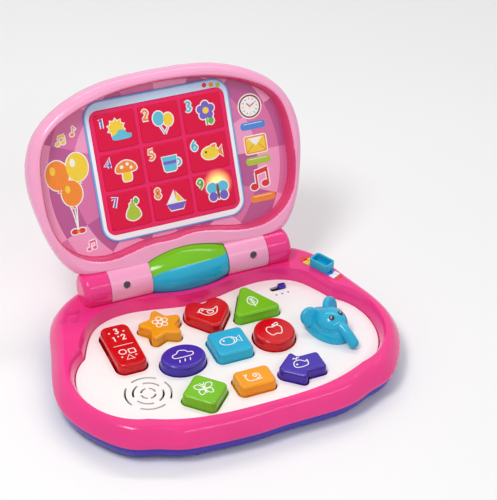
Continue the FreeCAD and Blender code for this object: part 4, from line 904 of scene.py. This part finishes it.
def icon_butterfly(pen):
    for side in (-1, 1):
        pen(smooth([(side * 0.6, 1), (side * 3.5, 6.4), (side * 7.6, 5.4), (side * 6, 1.4)]), True)
        pen(smooth([(side * 0.6, -0.6), (side * 5.4, -0.6), (side * 5.2, -5.4), (side * 2, -4.8)]), True)
        pen([(0, 4.4), (side * 2, 7.6)])
    pen([(0, 4.4), (0, -5)])


def icon_whale(pen):
    pen(smooth([(-7, -1), (-5, 3.4), (0, 4.4), (4.6, 1), (6.6, 3), (5.4, -3), (0, -4.6), (-5.6, -4)]), True)
    pen(stroke((-2, 5.6), (-3.2, 8), (-5, 7)))
    pen(stroke((-2, 5.6), (-0.8, 8), (1, 7)))
    pen(arc(-4, -0.4, 0.5), True)


def icon_flower(pen):
    pen(arc(0, 0, 2.2), True)
    for petal in range(5):
        angle = math.radians(90 + 72 * petal)
        pen(arc(4.8 * math.cos(angle), 4.8 * math.sin(angle), 2.4), True)


def icon_bird(pen):
    body = [(-7, 3), (-4.4, 5.2), (-1.6, 3.2), (3.6, 1.6), (8, 3.6), (5, -3), (-1, -4.6), (-5.4, -1.4)]
    pen(smooth(body), True)
    pen(smooth([(-1, 0.8), (3.4, -0.2), (2, -2.6), (-1, -2)]), True)
    pen([(-7, 3), (-9, 2), (-6.6, 1)])
    pen(arc(-4.4, 3, 0.5), True)


def icon_apple(pen):
    fruit = [(0, 3.6), (4, 4.8), (6.4, 1), (4, -5.4), (0, -4.8), (-4, -5.4), (-6.4, 1), (-4, 4.8)]
    pen(smooth(fruit), True)
    pen(stroke((0, 3.6), (0.4, 5.6), (1.6, 7)))
    pen(smooth([(1.4, 6), (4.8, 8), (5.4, 5.8), (3, 5)]), True)


def icon_cloud(pen):
    pen(moved(CLOUD, 0, 2), True)
    for x in (-4, 0, 4):
        pen([(x, -3.6), (x - 1, -6.4)])


KEY_ICONS = {            # drawing, scale and shift up the key
    "square": (icon_fish, 1.05, 0), "rectangle": (icon_snail, 0.95, 0), "triangle": (icon_leaf, 0.9, -3.4),
    "diamond": (icon_butterfly, 1.0, 0), "arrow": (icon_whale, 0.95, 0), "star": (icon_flower, 0.95, 0),
    "heart": (icon_bird, 1.1, 1.5), "circle": (icon_apple, 1.05, 0), "oval": (icon_cloud, 1.15, 0),
}


def middle_of(name):
    """Middle of a node seen from above, in metres."""
    low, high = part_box(name)
    return (low[0] + high[0]) / 2, (low[1] + high[1]) / 2


for key, (icon, scale, shift) in KEY_ICONS.items():
    x, y = middle_of("key_" + key)
    art = Artwork()
    icon(lambda path, closed=False: art.line(moved(path, 0, shift, scale), ICON_LINE, "white", closed))
    art.finish("icon_" + key, on_base(x / MM, y / MM, KEY_FACE), "key_" + key)

# Each silicone pad under a key becomes a piece of its own on the base, with its own mesh
for key in KEY_ICONS:
    node = NODES["pad_" + key]
    data = node.data.copy()
    data.transform(node.matrix_world)
    pad = add_piece("soft_pad_" + key, data, "base")
    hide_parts(node.name)
    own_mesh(pad)


# Rocker: numbers on one half, plain shapes on the other, and a line between them
def into_valley(co):
    """Lower a point of the rocker's drawing onto its sloping halves."""
    away = abs(co.y / MM - ROCKER_MIDDLE[1])
    return co - Vector((0, 0, ROCKER_VALLEY * (1 - away / ROCKER_HALF) * MM))


def rocker_dots(*places):
    for x, y in places:
        art.fill(arc(x, y, DOT), "white")


art = Artwork()
for digit, x, y in (("1", -4.6, 9.0), ("2", 3.6, 9.6), ("3", 0.0, 18.0)):
    draw_digit(art, digit, x, y, 1.0, 1.0, "white")
rocker_dots((-6.4, 17.0), (6.2, 16.4), (-0.4, 11.2))
art.line([(-8.5, 0), (8.5, 0)], 0.5, "white")
circle = arc(-3.6, -8.6, 3.0)
square = rounded_box(2.7, 2.7, 0.8, 4.2, -9.6)
triangle = [(-3.4, -19.2), (3.4, -19.2), (0, -13.6)]
for outline in (circle, square, triangle):
    art.line(outline, ROCKER_LINE, "white", closed=True)
rocker_dots((-6.2, -15.0), (5.8, -15.6))
on_rocker = on_base(*ROCKER_MIDDLE, ROCKER_FACE)
art.finish("icon_rocker", on_rocker, "mode_rocker", lay=into_valley)

# Dots beside the power switch
art = Artwork()
for x, y in ((70.1, 45.8), (75.6, 45.7), (81.4, 45.9)):
    art.fill(arc(x, y, 0.9), "purple")
art.finish("switch_print", on_base(0, 0, PANEL_FACE), "base")


# Small trim that follows a curved surface
def surface_of(node):
    mesh = NODES[node].data
    corners = [vertex.co for vertex in mesh.vertices]
    return BVHTree.FromPolygons(corners, [polygon.vertices[:] for polygon in mesh.polygons])


RIM = surface_of("base_upper_shell")


def on_rim(co):
    """Drop a point of a flat drawing onto the rim, keeping its height above the drawing plane."""
    above = Vector((co.x, co.y, RAY_START))
    hit = RIM.ray_cast(above, Vector((0, 0, -1)))[0]
    return Vector((co.x, co.y, hit.z + co.z))


def dome(name, centre, outward, radius, height, look, body):
    """Low round bead that stands on a surface, flattened along its outward direction."""
    mesh = bmesh.new()
    bmesh.ops.create_uvsphere(mesh, u_segments=24, v_segments=12, radius=1.0)
    turn = Vector(outward).to_track_quat("Z", "Y").to_matrix().to_4x4()
    size = Matrix.Diagonal((radius * MM, radius * MM, height * MM, 1.0))
    bmesh.ops.transform(mesh, matrix=Matrix.Translation(centre) @ turn @ size, verts=mesh.verts)
    for face in mesh.faces:
        face.smooth = True
    data = bpy.data.meshes.new(name)
    mesh.to_mesh(data)
    mesh.free()
    data.materials.append(look)
    return add_piece(name, data, body)


# Raised notes on the rim, at the left of the hinge, in a deeper pink that is painted shade of their
# embossing
art = Artwork()
for outline in NOTE_PAIR:
    art.fill(moved(outline, 0, 0, RIM_NOTES_SCALE), "deep_pink")
turn = Matrix.Rotation(RIM_NOTES_TURN, 4, "Z")
raised = Matrix.Diagonal((1.0, 1.0, RIM_NOTES_RISE, 1.0))
art.finish("rim_notes", on_base(*RIM_NOTES, 0.0) @ turn @ raised, "base", lay=on_rim)

# The elephant's eyes, each with a small white glint
HEAD = surface_of("mouse_shell")
face_turn = Matrix.Rotation(ELEPHANT_TURN, 3, "Z")
for name, side in (("left", -1), ("right", 1)):
    look = face_turn @ Vector((side * EYE_ASIDE, -EYE_FORWARD, EYE_UPWARD)).normalized()
    spot, normal = HEAD.ray_cast(ELEPHANT_HEAD + look * EYE_REACH, -look)[:2]
    dome("eye_" + name, spot, normal, EYE_RADIUS, EYE_RISE, INKS["black"], "mouse")
    glint = spot + (normal * GLINT_OUT + GLINT_SHIFT) * MM
    dome("eye_glint_" + name, glint, normal, GLINT_RADIUS, GLINT_RISE, INKS["white"],
         "mouse")


# Floor, light and camera
def floor_look():
    """Plain white floor, very slightly uneven."""
    surface = Surface("floor", roughness=0.6)
    surface.clouded((0.93, 0.93, 0.93, 1.0), (0.95, 0.95, 0.95, 1.0), scale=3.0)
    return surface.material


mesh = bmesh.new()
bmesh.ops.create_grid(mesh, x_segments=8, y_segments=8, size=FLOOR_HALF)
data = bpy.data.meshes.new("floor")
mesh.to_mesh(data)
mesh.free()
data.materials.append(floor_look())
floor = bpy.data.objects.new("floor", data)
bpy.context.scene.collection.objects.link(floor)


def area_light(name, place, width, depth, power):
    """Rectangular lamp that looks at the object."""
    lamp = bpy.data.lights.new(name, "AREA")
    lamp.shape = "RECTANGLE"
    lamp.size = width
    lamp.size_y = depth
    lamp.energy = power
    holder = bpy.data.objects.new(name, lamp)
    holder.location = place
    holder.rotation_euler = (Vector(LIGHT_AIM) - Vector(place)).to_track_quat("-Z", "Y").to_euler()
    bpy.context.scene.collection.objects.link(holder)


for lamp_name, place, width, depth, power in LAMPS:
    area_light(lamp_name, place, width, depth, power)

# White to the eye and in reflections, dimmer as light
scene = bpy.context.scene
scene.world = bpy.data.worlds.new("studio")
scene.world.use_nodes = True
tree = scene.world.node_tree
background = tree.nodes["Background"]
background.inputs["Color"].default_value = (1.0, 1.0, 1.0, 1.0)
rays = tree.nodes.new("ShaderNodeLightPath")
seen = rays.outputs["Is Camera Ray"]
for kind in ("Is Glossy Ray", "Is Transmission Ray"):
    either = tree.nodes.new("ShaderNodeMath")
    either.operation = "MAXIMUM"
    tree.links.new(seen, either.inputs[0])
    tree.links.new(rays.outputs[kind], either.inputs[1])
    seen = either.outputs[0]
strength = tree.nodes.new("ShaderNodeMapRange")
strength.inputs["To Min"].default_value = AMBIENT
strength.inputs["To Max"].default_value = 1.0
tree.links.new(seen, strength.inputs["Value"])
tree.links.new(strength.outputs["Result"], background.inputs["Strength"])
scene.view_settings.view_transform = "Standard"


def aim_camera():
    """Camera at the photo's angle, aimed so that the object stands where the photo has it."""
    back = Vector((math.sin(CAMERA_TURN) * math.cos(CAMERA_RISE),
                   -math.cos(CAMERA_TURN) * math.cos(CAMERA_RISE), math.sin(CAMERA_RISE)))
    level = Vector((math.cos(CAMERA_TURN), math.sin(CAMERA_TURN), 0.0))
    tall = back.cross(level)
    right = level * math.cos(CAMERA_ROLL) + tall * math.sin(CAMERA_ROLL)
    up = tall * math.cos(CAMERA_ROLL) - level * math.sin(CAMERA_ROLL)
    away = (back - right * AIM_RIGHT - up * AIM_UP).normalized()
    side = (right - away * right.dot(away)).normalized()
    turn = Matrix((side, away.cross(side), away)).transposed().to_4x4()
    lens = bpy.data.cameras.new("camera")
    lens.sensor_fit = "HORIZONTAL"
    lens.sensor_width = SENSOR
    lens.lens = FOCAL_PIXELS / IMAGE_WIDTH * SENSOR
    camera = bpy.data.objects.new("camera", lens)
    camera.matrix_world = Matrix.Translation(HINGE + back * CAMERA_DISTANCE) @ turn
    scene.collection.objects.link(camera)
    scene.camera = camera


aim_camera()
